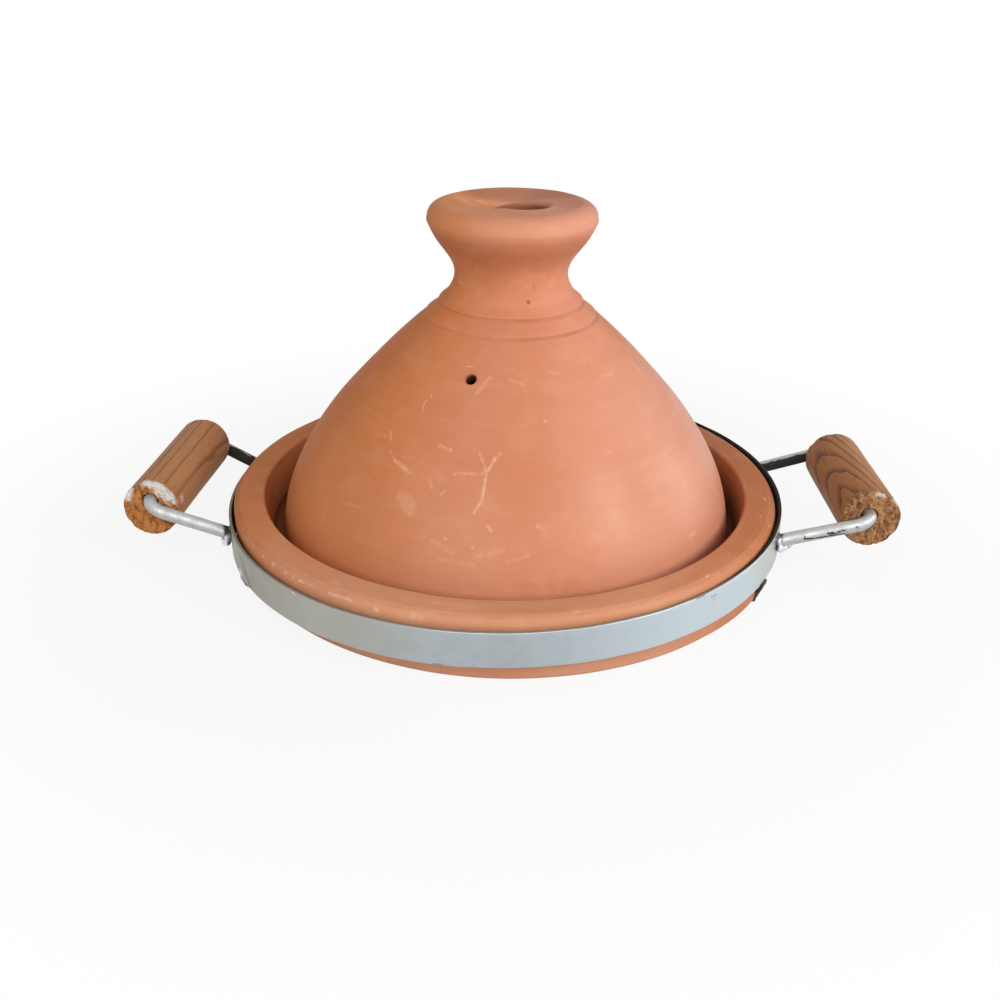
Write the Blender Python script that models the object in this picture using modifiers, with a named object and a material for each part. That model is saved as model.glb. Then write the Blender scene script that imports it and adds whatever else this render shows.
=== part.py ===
# Clay tagine in a steel carrying hoop: a heavy shallow dish, a conical lid with a
# hollow knob, a flat-bar hoop standing on four tabs, and two bent-rod handles with
# loose wooden grips. Metres, +Z up, origin at the centre of the dish's flat base.

import math

import bmesh
import bpy
from mathutils import Matrix, Vector

seat_gap = 0.0003  # clearance between pieces that touch
turning_steps = 64  # facets round the dish and the lid
hoop_steps = 96

# Dish
dish_radius = 0.1536  # outer wall
dish_height = 0.0369
mouth_radius = 0.1363  # inner edge of the rim
inner_draft = 0.0036  # how far the inner wall leans in towards the floor
seat_height = 0.0120  # level ring that the lid stands on
seat_inner_radius = 0.1150
floor_height = 0.0085  # middle of the dished floor
floor_corner = 0.0030
rim_outer_round = 0.0055
rim_inner_round = 0.0016
foot_taper_height = 0.0140  # below this the outer wall leans in
foot_taper = 0.0034
foot_round = 0.0030
foot_shift = 0.0014  # the foot stands a little to the right of the rim
foot_shift_height = 0.0076  # the shift fades out up to here

# Lid
lid_height = 0.1831  # from its standing edge to the top of the knob
lid_radius = 0.1276  # standing edge
lid_wall = 0.0080
lid_edge_round = 0.0022
lid_shift = 0.0010  # the lid stands a little to the right of the middle
shoulder_radius = 0.0484
shoulder_height = 0.1222
cone_fullness = 0.96  # 1 is a plain quarter wave, less is fuller
neck_radius = 0.0303
neck_rise = 0.0244  # the neck's narrowest ring, above the shoulder
knob_radius = 0.0456
knob_top_round = 0.0074  # the knob's widest ring, below the top
knob_top_radius = 0.0385
knob_dip = 0.0012  # hollow of the knob's top face
cavity_crown = 0.0080  # rise of the hollow's rounded top above its last ring
ridge_rises = (0.0078, 0.0009)  # two throwing ridges, above the shoulder
ridge_relief = 0.0009  # how far a ridge stands out
ridge_width = 0.0030
recess_radius = 0.0152
recess_depth = 0.0290
recess_mouth = 0.0030  # width of the recess's rounded lip
recess_shift = 0.0058  # the recess is off the knob's centre
knob_shift = 0.0016  # thrown off true: the lid's top leans to the right
vent_radius = 0.0028
vent_height = 0.1076
vent_angle = math.radians(-106.8)
neck_height = shoulder_height + neck_rise
knob_waist_height = lid_height - knob_top_round
ridge_heights = [shoulder_height + rise for rise in ridge_rises]

# Hoop
hoop_clearance = 0.0017  # between the dish and the hoop, all round
hoop_thickness = 0.0018
hoop_width = 0.0192
hoop_middle_height = 0.0223
hoop_shift = 0.0004
hoop_side_lean = math.radians(1.18)  # handmade: the right side stands higher
hoop_front_lean = math.radians(0.35)  # and the front a little lower
hoop_inner_radius = dish_radius + hoop_clearance
hoop_outer_radius = hoop_inner_radius + hoop_thickness
hoop_middle_radius = hoop_inner_radius + hoop_thickness / 2

# Tabs under the hoop
tab_angles = {
    "tab_front_right": math.radians(-29),
    "tab_back_right": math.radians(33),
    "tab_back_left": math.radians(153),
    "tab_front_left": math.radians(207),
}
tab_thickness = 0.0016
tab_width = 0.0090
tab_straight = 0.0015  # upright stretch below the hoop

# Handles
rod_diameter = 0.0070
rod_bend_radius = 0.0090
bore_diameter = 0.0095
grip_diameter = 0.0314
grip_end_round = 0.0014
grip_near_clearance = 0.0090  # from a rod corner's centre line to the wood
grip_far_clearance = 0.0078
bead_height = 0.0042
bead_spread = 0.0026
bead_root = 0.0045  # depth of the bead before it is trimmed to the hoop
rod_radius = rod_diameter / 2
bore_radius = bore_diameter / 2
grip_hang = bore_radius - rod_radius - seat_gap  # the grip hangs on the rod

# Each handle's own shape in the hoop's frame: reach is measured from the hoop's
# outer face, spread along Y and rise from the hoop's mid-height. The wood's centre
# is off the bore by (sideways, down) at each end, as drilled by hand.
handles = {
    "right": {
        "side": 1,
        "near_weld_angle": math.radians(-20.3),
        "near_weld_rise": 0.0022,
        "far_weld_angle": math.radians(15.5),
        "far_weld_rise": 0.0000,
        "near_reach": 0.0394,
        "near_spread": -0.0589,
        "near_rise": 0.0157,
        "far_reach": 0.0431,
        "far_spread": 0.0436,
        "far_rise": 0.0130,
        "wood_near": (0.0018, 0.0016),
        "wood_far": (0.0006, 0.0009),
    },
    "left": {
        "side": -1,
        "near_weld_angle": math.radians(195.7),
        "near_weld_rise": 0.0018,
        "far_weld_angle": math.radians(161.3),
        "far_weld_rise": -0.0017,
        "near_reach": 0.0376,
        "near_spread": -0.0494,
        "near_rise": 0.0220,
        "far_reach": 0.0286,
        "far_spread": 0.0546,
        "far_rise": 0.0176,
        "wood_near": (-0.0002, 0.0046),
        "wood_far": (0.0022, -0.0012),
    },
}


def clear_scene():
    for item in list(bpy.data.objects):
        bpy.data.objects.remove(item, do_unlink=True)


def make_collection(name):
    group = bpy.data.collections.new(name)
    bpy.context.scene.collection.children.link(group)
    return group


def make_material(name, colour, roughness, metallic=0.0):
    material = bpy.data.materials.new(name)
    material.use_nodes = True
    shader = material.node_tree.nodes["Principled BSDF"]
    shader.inputs["Base Color"].default_value = (*colour, 1.0)
    shader.inputs["Roughness"].default_value = roughness
    shader.inputs["Metallic"].default_value = metallic
    return material


def add_object(name, mesh, group, material=None):
    item = bpy.data.objects.new(name, mesh)
    group.objects.link(item)
    if material:
        mesh.materials.append(material)
    return item


def hide_cutter(item):
    item.hide_render = True
    item.display_type = "WIRE"


def shade(item, angle=40):
    for polygon in item.data.polygons:
        polygon.use_smooth = True
    item.data.set_sharp_from_angle(angle=math.radians(angle))


def cut(item, cutter):
    modifier = item.modifiers.new("cut_" + cutter.name, "BOOLEAN")
    modifier.operation = "DIFFERENCE"
    modifier.solver = "EXACT"
    modifier.object = cutter


def arc(centre_r, centre_z, radius, start_degrees, end_degrees, steps):
    points = []
    for step in range(steps + 1):
        angle = math.radians(start_degrees + (end_degrees - start_degrees) * step / steps)
        points.append((centre_r + radius * math.cos(angle), centre_z + radius * math.sin(angle)))
    return points


def offset_path(points, distance):
    """Moves an open outline sideways, to the left of its direction for a positive distance."""
    moved = []
    for index, (x, z) in enumerate(points):
        before = points[max(index - 1, 0)]
        after = points[min(index + 1, len(points) - 1)]
        first = Vector((x - before[0], z - before[1]))
        second = Vector((after[0] - x, after[1] - z))
        directions = [side.normalized() for side in (first, second) if side.length > 0]
        along = sum(directions, Vector((0, 0))).normalized()
        stretch = max(along.dot(directions[0]), 0.5)
        moved.append((x - along.y * distance / stretch, z + along.x * distance / stretch))
    return moved


def turned_object(name, profile, group, steps, material=None, closed=False):
    """A profile in the XZ plane turned about Z; it runs down its outer side."""
    mesh = bpy.data.meshes.new(name)
    edges = [(index, index + 1) for index in range(len(profile) - 1)]
    if closed:
        edges.append((len(profile) - 1, 0))
    mesh.from_pydata([(r, 0.0, z) for r, z in profile], edges, [])
    item = add_object(name, mesh, group, material)
    screw = item.modifiers.new("turn", "SCREW")
    screw.axis = "Z"
    screw.steps = steps
    screw.render_steps = steps
    screw.use_merge_vertices = True
    screw.merge_threshold = 0.00001
    screw.use_smooth_shade = True
    return item


def lean_over(item, shift, low, high):
    """Makes the turned shape a mesh and slides it sideways along X, from nothing at
    the low height to all of the shift at the high one."""
    graph = bpy.context.evaluated_depsgraph_get()
    mesh = bpy.data.meshes.new_from_object(item.evaluated_get(graph))
    item.modifiers.clear()
    item.data = mesh
    for vertex in mesh.vertices:
        share = (vertex.co.z - low) / (high - low)
        vertex.co.x += shift * min(max(share, 0.0), 1.0)


def dish_profile():
    floor_corner_r = mouth_radius - inner_draft
    floor = [
        (0.0, floor_height),
        (seat_inner_radius * 0.6, floor_height + (seat_height - floor_height) * 0.3),
        (seat_inner_radius, seat_height),
    ]
    corner = arc(floor_corner_r - floor_corner, seat_height + floor_corner, floor_corner, -90, 0, 3)
    inner_edge = arc(
        mouth_radius + rim_inner_round, dish_height - rim_inner_round, rim_inner_round, 180, 90, 2
    )
    outer_edge = arc(
        dish_radius - rim_outer_round, dish_height - rim_outer_round, rim_outer_round, 80, 0, 4
    )
    foot_wall_r = dish_radius - foot_taper
    foot = arc(foot_wall_r - foot_round, foot_round, foot_round, 0, -90, 3)
    wall = [(dish_radius, foot_taper_height)]
    return floor + corner + inner_edge + outer_edge + wall + foot + [(0.0, 0.0)]


def cone_radius(height):
    """Outer radius of the lid below the shoulder: a fuller quarter wave."""
    share = (shoulder_height - height) / shoulder_height
    wave = math.sin(share * math.pi / 2) ** cone_fullness
    return shoulder_radius + (lid_radius - shoulder_radius) * wave


def shoulder_to_neck_radius(height):
    share = (height - shoulder_height) / (neck_height - shoulder_height)
    return neck_radius + (shoulder_radius - neck_radius) * (1 - math.sin(share * math.pi / 2))


def outline_radius(height):
    if height > shoulder_height:
        return shoulder_to_neck_radius(height)
    return cone_radius(height)


def knob_outline():
    """From the rim of the knob's top face down to the neck."""
    points = []
    for step in range(6):
        angle = math.radians(90 - 90 * step / 5)
        r = knob_top_radius + (knob_radius - knob_top_radius) * math.cos(angle)
        points.append((r, knob_waist_height + knob_top_round * math.sin(angle)))
    for step in range(1, 7):
        share = step / 6
        swell = (1 + math.cos(math.pi * share)) / 2
        height = knob_waist_height + (neck_height - knob_waist_height) * share
        points.append((neck_radius + (knob_radius - neck_radius) * swell, height))
    return points


def ridge_points(height):
    """A small step in the outline, as a thrower's finger leaves it."""
    upper = height + ridge_width / 2
    lower = height - ridge_width / 2
    return [
        (outline_radius(upper), upper),
        (outline_radius(height) + ridge_relief, height - ridge_width * 0.1),
        (outline_radius(lower), lower),
    ]


def lid_profile():
    top = [(0.0, lid_height - knob_dip), (knob_top_radius * 0.8, lid_height - knob_dip * 0.6)]
    shoulder = []
    for step in range(1, 4):
        height = neck_height + (ridge_heights[0] + ridge_width - neck_height) * step / 3
        shoulder.append((outline_radius(height), height))
    for height in ridge_heights:
        shoulder += ridge_points(height)
    cone_top = ridge_heights[-1] - ridge_width
    cone = []
    cone_steps = 11
    for step in range(cone_steps):
        height = cone_top + (lid_edge_round - cone_top) * (step / (cone_steps - 1)) ** 0.9
        cone.append((cone_radius(height), height))
    bottom_outer = arc(
        cone[-1][0] - lid_edge_round, lid_edge_round, lid_edge_round, -30, -90, 2
    )
    inner_wall = offset_path(list(reversed(cone)), lid_wall)
    inner_wall = [(r, height) for r, height in inner_wall if height > lid_edge_round]
    bottom_inner = [
        (inner_wall[0][0] + lid_edge_round, 0.0),
        (inner_wall[0][0] + lid_edge_round * 0.3, lid_edge_round * 0.3),
    ]
    last_r, last_height = inner_wall[-1]
    crown = []
    for step in range(1, 4):
        angle = math.radians(90 * step / 3)
        crown.append((last_r * math.cos(angle), last_height + cavity_crown * math.sin(angle)))
    crown[-1] = (0.0, last_height + cavity_crown)
    return top + knob_outline() + shoulder + cone + bottom_outer + bottom_inner + inner_wall + crown


def build_dish(parts, material):
    dish = turned_object("dish", dish_profile(), parts, turning_steps, material)
    lean_over(dish, foot_shift, foot_shift_height, 0.0)
    shade(dish)
    return dish


def recess_cutter(cutters):
    bottom = lid_height - recess_depth
    lip_r = recess_radius + recess_mouth
    profile = [
        (0.0, lid_height + 0.0040),
        (lip_r + 0.0010, lid_height + 0.0040),
        (lip_r, lid_height),
        (recess_radius + recess_mouth * 0.3, lid_height - recess_mouth * 0.5),
        (recess_radius, lid_height - recess_mouth * 1.2),
        (recess_radius * 0.95, bottom + recess_radius * 0.3),
        (recess_radius * 0.7, bottom + recess_radius * 0.06),
        (0.0, bottom),
    ]
    cutter = turned_object("knob_recess_cutter", profile, cutters, 32)
    cutter.location = (recess_shift + knob_shift, 0.0, 0.0)
    return cutter


def vent_cutter(cutters):
    """A straight drill through the cone, square to its surface."""
    step = 0.001
    slope = (cone_radius(vent_height + step) - cone_radius(vent_height - step)) / (2 * step)
    radial = Vector((math.cos(vent_angle), math.sin(vent_angle), 0.0))
    outward = (radial - Vector((0, 0, slope))).normalized()
    point = radial * cone_radius(vent_height) + Vector((0, 0, vent_height))
    bm = bmesh.new()
    bmesh.ops.create_cone(
        bm, cap_ends=True, segments=16, radius1=vent_radius, radius2=vent_radius,
        depth=lid_wall * 4,
    )
    mesh = bpy.data.meshes.new("steam_vent_cutter")
    bm.to_mesh(mesh)
    bm.free()
    cutter = add_object("steam_vent_cutter", mesh, cutters)
    cutter.rotation_mode = "QUATERNION"
    cutter.rotation_quaternion = outward.to_track_quat("Z", "Y")
    cutter.location = point
    return cutter


def build_lid(parts, cutters, material):
    lid = turned_object("lid", lid_profile(), parts, turning_steps, material)
    lean_over(lid, knob_shift, lid_edge_round, lid_height)
    lid.location = (lid_shift, 0.0, seat_height + seat_gap)
    for cutter in (recess_cutter(cutters), vent_cutter(cutters)):
        cutter.parent = lid
        hide_cutter(cutter)
        cut(lid, cutter)
    return lid


def add_hoop_frame(group):
    """The empty that carries everything welded to the hoop, leaned as the hoop stands."""
    frame = bpy.data.objects.new("hoop_frame", None)
    group.objects.link(frame)
    frame.location = (hoop_shift, 0.0, hoop_middle_height)
    frame.rotation_euler = (hoop_front_lean, -hoop_side_lean, 0.0)
    return frame


def hoop_frame_matrix():
    lean = Matrix.Rotation(-hoop_side_lean, 4, "Y") @ Matrix.Rotation(hoop_front_lean, 4, "X")
    return Matrix.Translation((hoop_shift, 0.0, hoop_middle_height)) @ lean


def build_hoop(parts, frame, material):
    half = hoop_width / 2
    profile = [
        (hoop_inner_radius, half),
        (hoop_outer_radius, half),
        (hoop_outer_radius, -half),
        (hoop_inner_radius, -half),
    ]
    hoop = turned_object("hoop_band", profile, parts, hoop_steps, material, closed=True)
    hoop.parent = frame
    return hoop


def hoop_trim_cutter(cutters, frame):
    """Solid disc a touch wider than the hoop: it trims what is welded to the outer face."""
    bm = bmesh.new()
    radius = hoop_outer_radius + seat_gap
    bmesh.ops.create_cone(
        bm, cap_ends=True, segments=hoop_steps * 2, radius1=radius, radius2=radius,
        depth=hoop_width * 3,
    )
    mesh = bpy.data.meshes.new("hoop_trim_cutter")
    bm.to_mesh(mesh)
    bm.free()
    cutter = add_object("hoop_trim_cutter", mesh, cutters)
    cutter.parent = frame
    hide_cutter(cutter)
    return cutter


def foot_radius_at(angle):
    """Radius, from the origin, of the dish's foot where its bottom rounding starts."""
    shift = foot_shift * (1 - foot_round / foot_shift_height)
    return dish_radius - foot_taper + shift * math.cos(angle)


def tab_outline(angle):
    """Cranked strip in the upright plane at this angle: down from the hoop, in to
    the dish's tapered foot, and down to the floor. Returns the outline and the
    direction of its plane."""
    edge = Vector((
        hoop_middle_radius * math.cos(angle), hoop_middle_radius * math.sin(angle), -hoop_width / 2,
    ))
    edge = hoop_frame_matrix() @ edge
    top = edge.z - seat_gap
    upper_r = math.hypot(edge.x, edge.y) - tab_thickness / 2
    lower_r = foot_radius_at(angle) + seat_gap
    inner = [
        (upper_r, top),
        (upper_r, top - tab_straight),
        (lower_r, foot_round),
        (lower_r, 0.0),
    ]
    outer = offset_path(inner, tab_thickness)
    return outer + list(reversed(inner)), math.atan2(edge.y, edge.x)


def build_tab(name, angle, parts, material):
    outline, plane_angle = tab_outline(angle)
    curve = bpy.data.curves.new(name, "CURVE")
    curve.dimensions = "2D"
    curve.fill_mode = "BOTH"
    curve.extrude = tab_width / 2
    spline = curve.splines.new("POLY")
    spline.points.add(len(outline) - 1)
    for point, (r, z) in zip(spline.points, outline):
        point.co = (r, z, 0.0, 1.0)
    spline.use_cyclic_u = True
    tab = add_object(name, curve, parts, material)
    tab.rotation_euler = (math.pi / 2, 0.0, plane_angle)
    return tab


def weld_point(angle, rise):
    return Vector((
        hoop_outer_radius * math.cos(angle), hoop_outer_radius * math.sin(angle), rise,
    ))


def handle_corners(shape):
    """Weld, corner, corner, weld of a handle's rod, in the hoop's frame."""
    side = shape["side"]
    near_corner = Vector((
        side * (hoop_outer_radius + shape["near_reach"]), shape["near_spread"], shape["near_rise"],
    ))
    far_corner = Vector((
        side * (hoop_outer_radius + shape["far_reach"]), shape["far_spread"], shape["far_rise"],
    ))
    near_weld = weld_point(shape["near_weld_angle"], shape["near_weld_rise"])
    far_weld = weld_point(shape["far_weld_angle"], shape["far_weld_rise"])
    return near_weld, near_corner, far_corner, far_weld


def rounded_corner(before, corner, after, radius, steps):
    """Points of an arc that rounds the corner of two straight runs."""
    first = (before - corner).normalized()
    second = (after - corner).normalized()
    half_angle = first.angle(second) / 2
    tangent = radius / math.tan(half_angle)
    centre = corner + (first + second).normalized() * radius / math.sin(half_angle)
    start = corner + first * tangent - centre
    end = corner + second * tangent - centre
    sweep = start.angle(end)
    points = []
    for step in range(steps + 1):
        share = step / steps
        weights = math.sin((1 - share) * sweep), math.sin(share * sweep)
        points.append(centre + (start * weights[0] + end * weights[1]) / math.sin(sweep))
    return points


def tube_mesh(name, points, radius):
    """A closed round tube along the points, as a mesh with its caps welded."""
    curve = bpy.data.curves.new(name + "_path", "CURVE")
    curve.dimensions = "3D"
    curve.bevel_depth = radius
    curve.bevel_resolution = 4
    curve.use_fill_caps = True
    spline = curve.splines.new("POLY")
    spline.points.add(len(points) - 1)
    for target, point in zip(spline.points, points):
        target.co = (*point, 1.0)
    carrier = bpy.data.objects.new(name + "_path", curve)
    bpy.context.scene.collection.objects.link(carrier)
    graph = bpy.context.evaluated_depsgraph_get()
    mesh = bpy.data.meshes.new_from_object(carrier.evaluated_get(graph))
    bpy.data.objects.remove(carrier, do_unlink=True)
    bm = bmesh.new()
    bm.from_mesh(mesh)
    bmesh.ops.remove_doubles(bm, verts=bm.verts, dist=0.00001)
    bmesh.ops.recalc_face_normals(bm, faces=bm.faces)
    bm.to_mesh(mesh)
    bm.free()
    mesh.name = name
    return mesh


def build_rod(name, shape, parts, frame, trim, material):
    near_weld, near_corner, far_corner, far_weld = handle_corners(shape)
    near_root = near_weld + (near_weld - near_corner).normalized() * bead_root
    far_root = far_weld + (far_weld - far_corner).normalized() * bead_root
    points = [near_root]
    points += rounded_corner(near_weld, near_corner, far_corner, rod_bend_radius, 7)
    points += rounded_corner(near_corner, far_corner, far_weld, rod_bend_radius, 7)
    points.append(far_root)
    rod = add_object(name, tube_mesh(name, points, rod_radius), parts, material)
    rod.parent = frame
    cut(rod, trim)
    shade(rod, 50)
    return rod


def build_bead(name, weld, corner, parts, frame, trim, material):
    """Fillet of weld metal round the rod's end, trimmed to the hoop's face."""
    bore = rod_radius + seat_gap
    profile = [
        (bore, bead_height),
        (bore + bead_spread * 0.28, bead_height * 0.88),
        (bore + bead_spread * 0.55, bead_height * 0.48),
        (bore + bead_spread * 0.9, bead_height * 0.12),
        (bore + bead_spread, -bead_root),
        (bore, -bead_root),
    ]
    bead = turned_object(name, profile, parts, 20, material, closed=True)
    bead.parent = frame
    bead.location = weld
    bead.rotation_mode = "QUATERNION"
    bead.rotation_quaternion = (corner - weld).normalized().to_track_quat("Z", "Y")
    cut(bead, trim)
    return bead


def grip_axes(shape):
    """The bore's frame: X sideways, Y down, Z along the rod from near to far."""
    _, near_corner, far_corner, _ = handle_corners(shape)
    along = (far_corner - near_corner).normalized()
    sideways = along.cross(Vector((0, 0, 1))).normalized()
    down = along.cross(sideways)
    length = (far_corner - near_corner).length - grip_near_clearance - grip_far_clearance
    start = near_corner + along * grip_near_clearance + down * grip_hang
    return start, sideways, down, along, length


def build_grip(name, shape, parts, cutters, frame, material):
    start, sideways, down, along, length = grip_axes(shape)
    bm = bmesh.new()
    bmesh.ops.create_cone(
        bm, cap_ends=True, segments=36, radius1=grip_diameter / 2, radius2=grip_diameter / 2,
        depth=length, matrix=Matrix.Translation((0, 0, length / 2)),
    )
    rims = [edge for edge in bm.edges if abs(edge.verts[0].co.z - edge.verts[1].co.z) < 1e-6]
    bmesh.ops.bevel(
        bm, geom=rims, offset=grip_end_round, segments=2, profile=0.5, affect="EDGES",
        clamp_overlap=True, material=-1,
    )
    for vert in bm.verts:
        share = vert.co.z / length
        vert.co.x += shape["wood_near"][0] * (1 - share) + shape["wood_far"][0] * share
        vert.co.y += shape["wood_near"][1] * (1 - share) + shape["wood_far"][1] * share
    mesh = bpy.data.meshes.new(name)
    bm.to_mesh(mesh)
    bm.free()
    grip = add_object(name, mesh, parts, material)
    grip.parent = frame
    placement = Matrix((sideways, down, along)).transposed().to_4x4()
    placement.translation = start
    grip.matrix_local = placement

    bm = bmesh.new()
    bmesh.ops.create_cone(
        bm, cap_ends=True, segments=20, radius1=bore_radius, radius2=bore_radius,
        depth=length * 1.4, matrix=Matrix.Translation((0, 0, length / 2)),
    )
    cutter_mesh = bpy.data.meshes.new(name + "_bore_cutter")
    bm.to_mesh(cutter_mesh)
    bm.free()
    cutter = add_object(name + "_bore_cutter", cutter_mesh, cutters)
    cutter.parent = grip
    hide_cutter(cutter)
    cut(grip, cutter)
    shade(grip)
    return grip


def build_handle(side_name, shape, parts, cutters, frame, trim, steel, weld, wood):
    near_weld, near_corner, far_corner, far_weld = handle_corners(shape)
    build_rod("handle_rod_" + side_name, shape, parts, frame, trim, steel)
    build_bead("weld_bead_front_" + side_name, near_weld, near_corner, parts, frame, trim, weld)
    build_bead("weld_bead_back_" + side_name, far_weld, far_corner, parts, frame, trim, weld)
    build_grip("grip_" + side_name, shape, parts, cutters, frame, wood)


def build_tagine():
    clear_scene()
    parts = make_collection("tagine")
    cutters = make_collection("cutters")
    clay = make_material("fired_clay", (0.60, 0.26, 0.15), 0.85)
    band_steel = make_material("galvanised_band", (0.50, 0.54, 0.56), 0.45, 0.8)
    rod_steel = make_material("zinc_rod", (0.62, 0.63, 0.63), 0.35, 0.9)
    dark_steel = make_material("dark_steel", (0.08, 0.08, 0.08), 0.6, 0.6)
    weld_metal = make_material("weld_metal", (0.35, 0.35, 0.35), 0.5, 0.8)
    wood = make_material("turned_wood", (0.36, 0.18, 0.09), 0.6)

    build_dish(parts, clay)
    build_lid(parts, cutters, clay)
    frame = add_hoop_frame(parts)
    build_hoop(parts, frame, band_steel)
    trim = hoop_trim_cutter(cutters, frame)
    for name, angle in tab_angles.items():
        build_tab(name, angle, parts, dark_steel)
    for side_name, shape in handles.items():
        build_handle(
            side_name, shape, parts, cutters, frame, trim, rod_steel, weld_metal, wood
        )


build_tagine()
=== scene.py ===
import math
import random

import bmesh
import bpy
from mathutils import Matrix, Vector, noise


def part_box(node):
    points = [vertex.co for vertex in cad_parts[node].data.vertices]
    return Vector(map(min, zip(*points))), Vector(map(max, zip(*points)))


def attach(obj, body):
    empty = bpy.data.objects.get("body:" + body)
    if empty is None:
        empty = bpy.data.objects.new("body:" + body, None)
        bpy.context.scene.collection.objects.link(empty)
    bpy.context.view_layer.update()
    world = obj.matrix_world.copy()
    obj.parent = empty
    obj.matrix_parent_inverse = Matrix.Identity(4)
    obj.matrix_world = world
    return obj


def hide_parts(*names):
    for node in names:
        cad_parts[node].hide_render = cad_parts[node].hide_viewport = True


# Clay tagine in a galvanised carrying hoop, with wooden grips on bent rods.
# Sizes are metres and angles degrees, unless a note says otherwise.

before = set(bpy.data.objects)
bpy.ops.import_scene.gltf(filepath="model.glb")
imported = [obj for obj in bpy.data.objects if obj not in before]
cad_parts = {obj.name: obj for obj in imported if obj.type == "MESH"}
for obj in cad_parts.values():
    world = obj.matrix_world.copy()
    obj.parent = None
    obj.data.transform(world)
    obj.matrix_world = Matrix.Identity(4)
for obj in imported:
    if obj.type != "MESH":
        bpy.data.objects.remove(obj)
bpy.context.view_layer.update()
print("stage: frame loaded")


# Shader node helpers: each finds the node tree by the sockets it is given

def treeOf(values):
    return next(value.id_data for value in values if isinstance(value, bpy.types.NodeSocket))


def connect(value, socket):
    if isinstance(value, bpy.types.NodeSocket):
        socket.id_data.links.new(value, socket)
    else:
        socket.default_value = value


def makeNode(tree, kind, settings=(), inputs=()):
    node = tree.nodes.new("ShaderNode" + kind)
    for name, value in dict(settings).items():
        setattr(node, name, value)
    for name, value in dict(inputs).items():
        connect(value, node.inputs[name])
    return node


def mathOf(operation, *values):
    return makeNode(treeOf(values), "Math", {"operation": operation}, enumerate(values)).outputs[0]


def plus(first, second):
    return mathOf("ADD", first, second)


def minus(first, second):
    return mathOf("SUBTRACT", first, second)


def times(first, second):
    return mathOf("MULTIPLY", first, second)


def larger(first, second):
    return mathOf("MAXIMUM", first, second)


def vectorOf(operation, *values):
    node = makeNode(treeOf(values), "VectorMath", {"operation": operation}, enumerate(values))
    single = operation in ("LENGTH", "DISTANCE", "DOT_PRODUCT")
    return node.outputs["Value" if single else "Vector"]


def scaled(vector, share):
    inputs = {0: vector, "Scale": share}
    return makeNode(vector.id_data, "VectorMath", {"operation": "SCALE"}, inputs).outputs["Vector"]


def flatLength(vector):  # distance from the upright axis
    return vectorOf("LENGTH", vectorOf("MULTIPLY", vector, (1.0, 1.0, 0.0)))


def rangeOf(value, low, high, outLow=0.0, outHigh=1.0):
    return makeNode(value.id_data, "MapRange", {"interpolation_type": "SMOOTHSTEP"},
                    enumerate((value, low, high, outLow, outHigh))).outputs[0]


def colour4(value):
    return (*value, 1.0) if isinstance(value, tuple) and len(value) == 3 else value


def mixOf(share, first, second, blend="MIX"):
    return makeNode(treeOf((share, first, second)), "Mix", {"data_type": "RGBA", "blend_type": blend},
                    {0: share, 6: colour4(first), 7: colour4(second)}).outputs[2]


def noiseOf(place, scale, detail=2.0, roughness=0.5, output=0):
    inputs = {"Vector": place, "Scale": scale, "Detail": detail, "Roughness": roughness}
    return makeNode(place.id_data, "TexNoise", (), inputs).outputs[output]


def patchOf(place, noiseValues, span):  # noise, faded between two of its levels
    return rangeOf(noiseOf(place, *noiseValues), *span)


def splitOf(vector):
    return makeNode(vector.id_data, "SeparateXYZ", (), {0: vector}).outputs


def joinOf(*parts):
    return makeNode(treeOf(parts), "CombineXYZ", (), enumerate(parts)).outputs[0]


def startGroup(name, inputs, outputs):
    tree = bpy.data.node_groups.new(name, "ShaderNodeTree")
    for way, sockets in (("INPUT", inputs), ("OUTPUT", outputs)):
        for label, kind in sockets.items():
            tree.interface.new_socket(name=label, in_out=way, socket_type="NodeSocket" + kind)
    return tree, tree.nodes.new("NodeGroupInput").outputs, tree.nodes.new("NodeGroupOutput").inputs


def useGroup(group, inputs):
    return makeNode(treeOf(inputs.values()), "Group", {"node_tree": group}, inputs).outputs


def startMaterial(name):
    material = bpy.data.materials.new(name)
    material.use_nodes = True
    tree = material.node_tree
    return material, tree.nodes["Principled BSDF"], makeNode(tree, "TexCoord").outputs["Object"]


def setShader(shader, values, height=None, relief=0.0):
    for name, value in values.items():
        connect(value, shader.inputs[name])
    if height is not None:
        bump = makeNode(shader.id_data, "Bump", (), {"Height": height, "Distance": relief})
        connect(bump.outputs[0], shader.inputs["Normal"])


# Clay and shared effects

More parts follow.
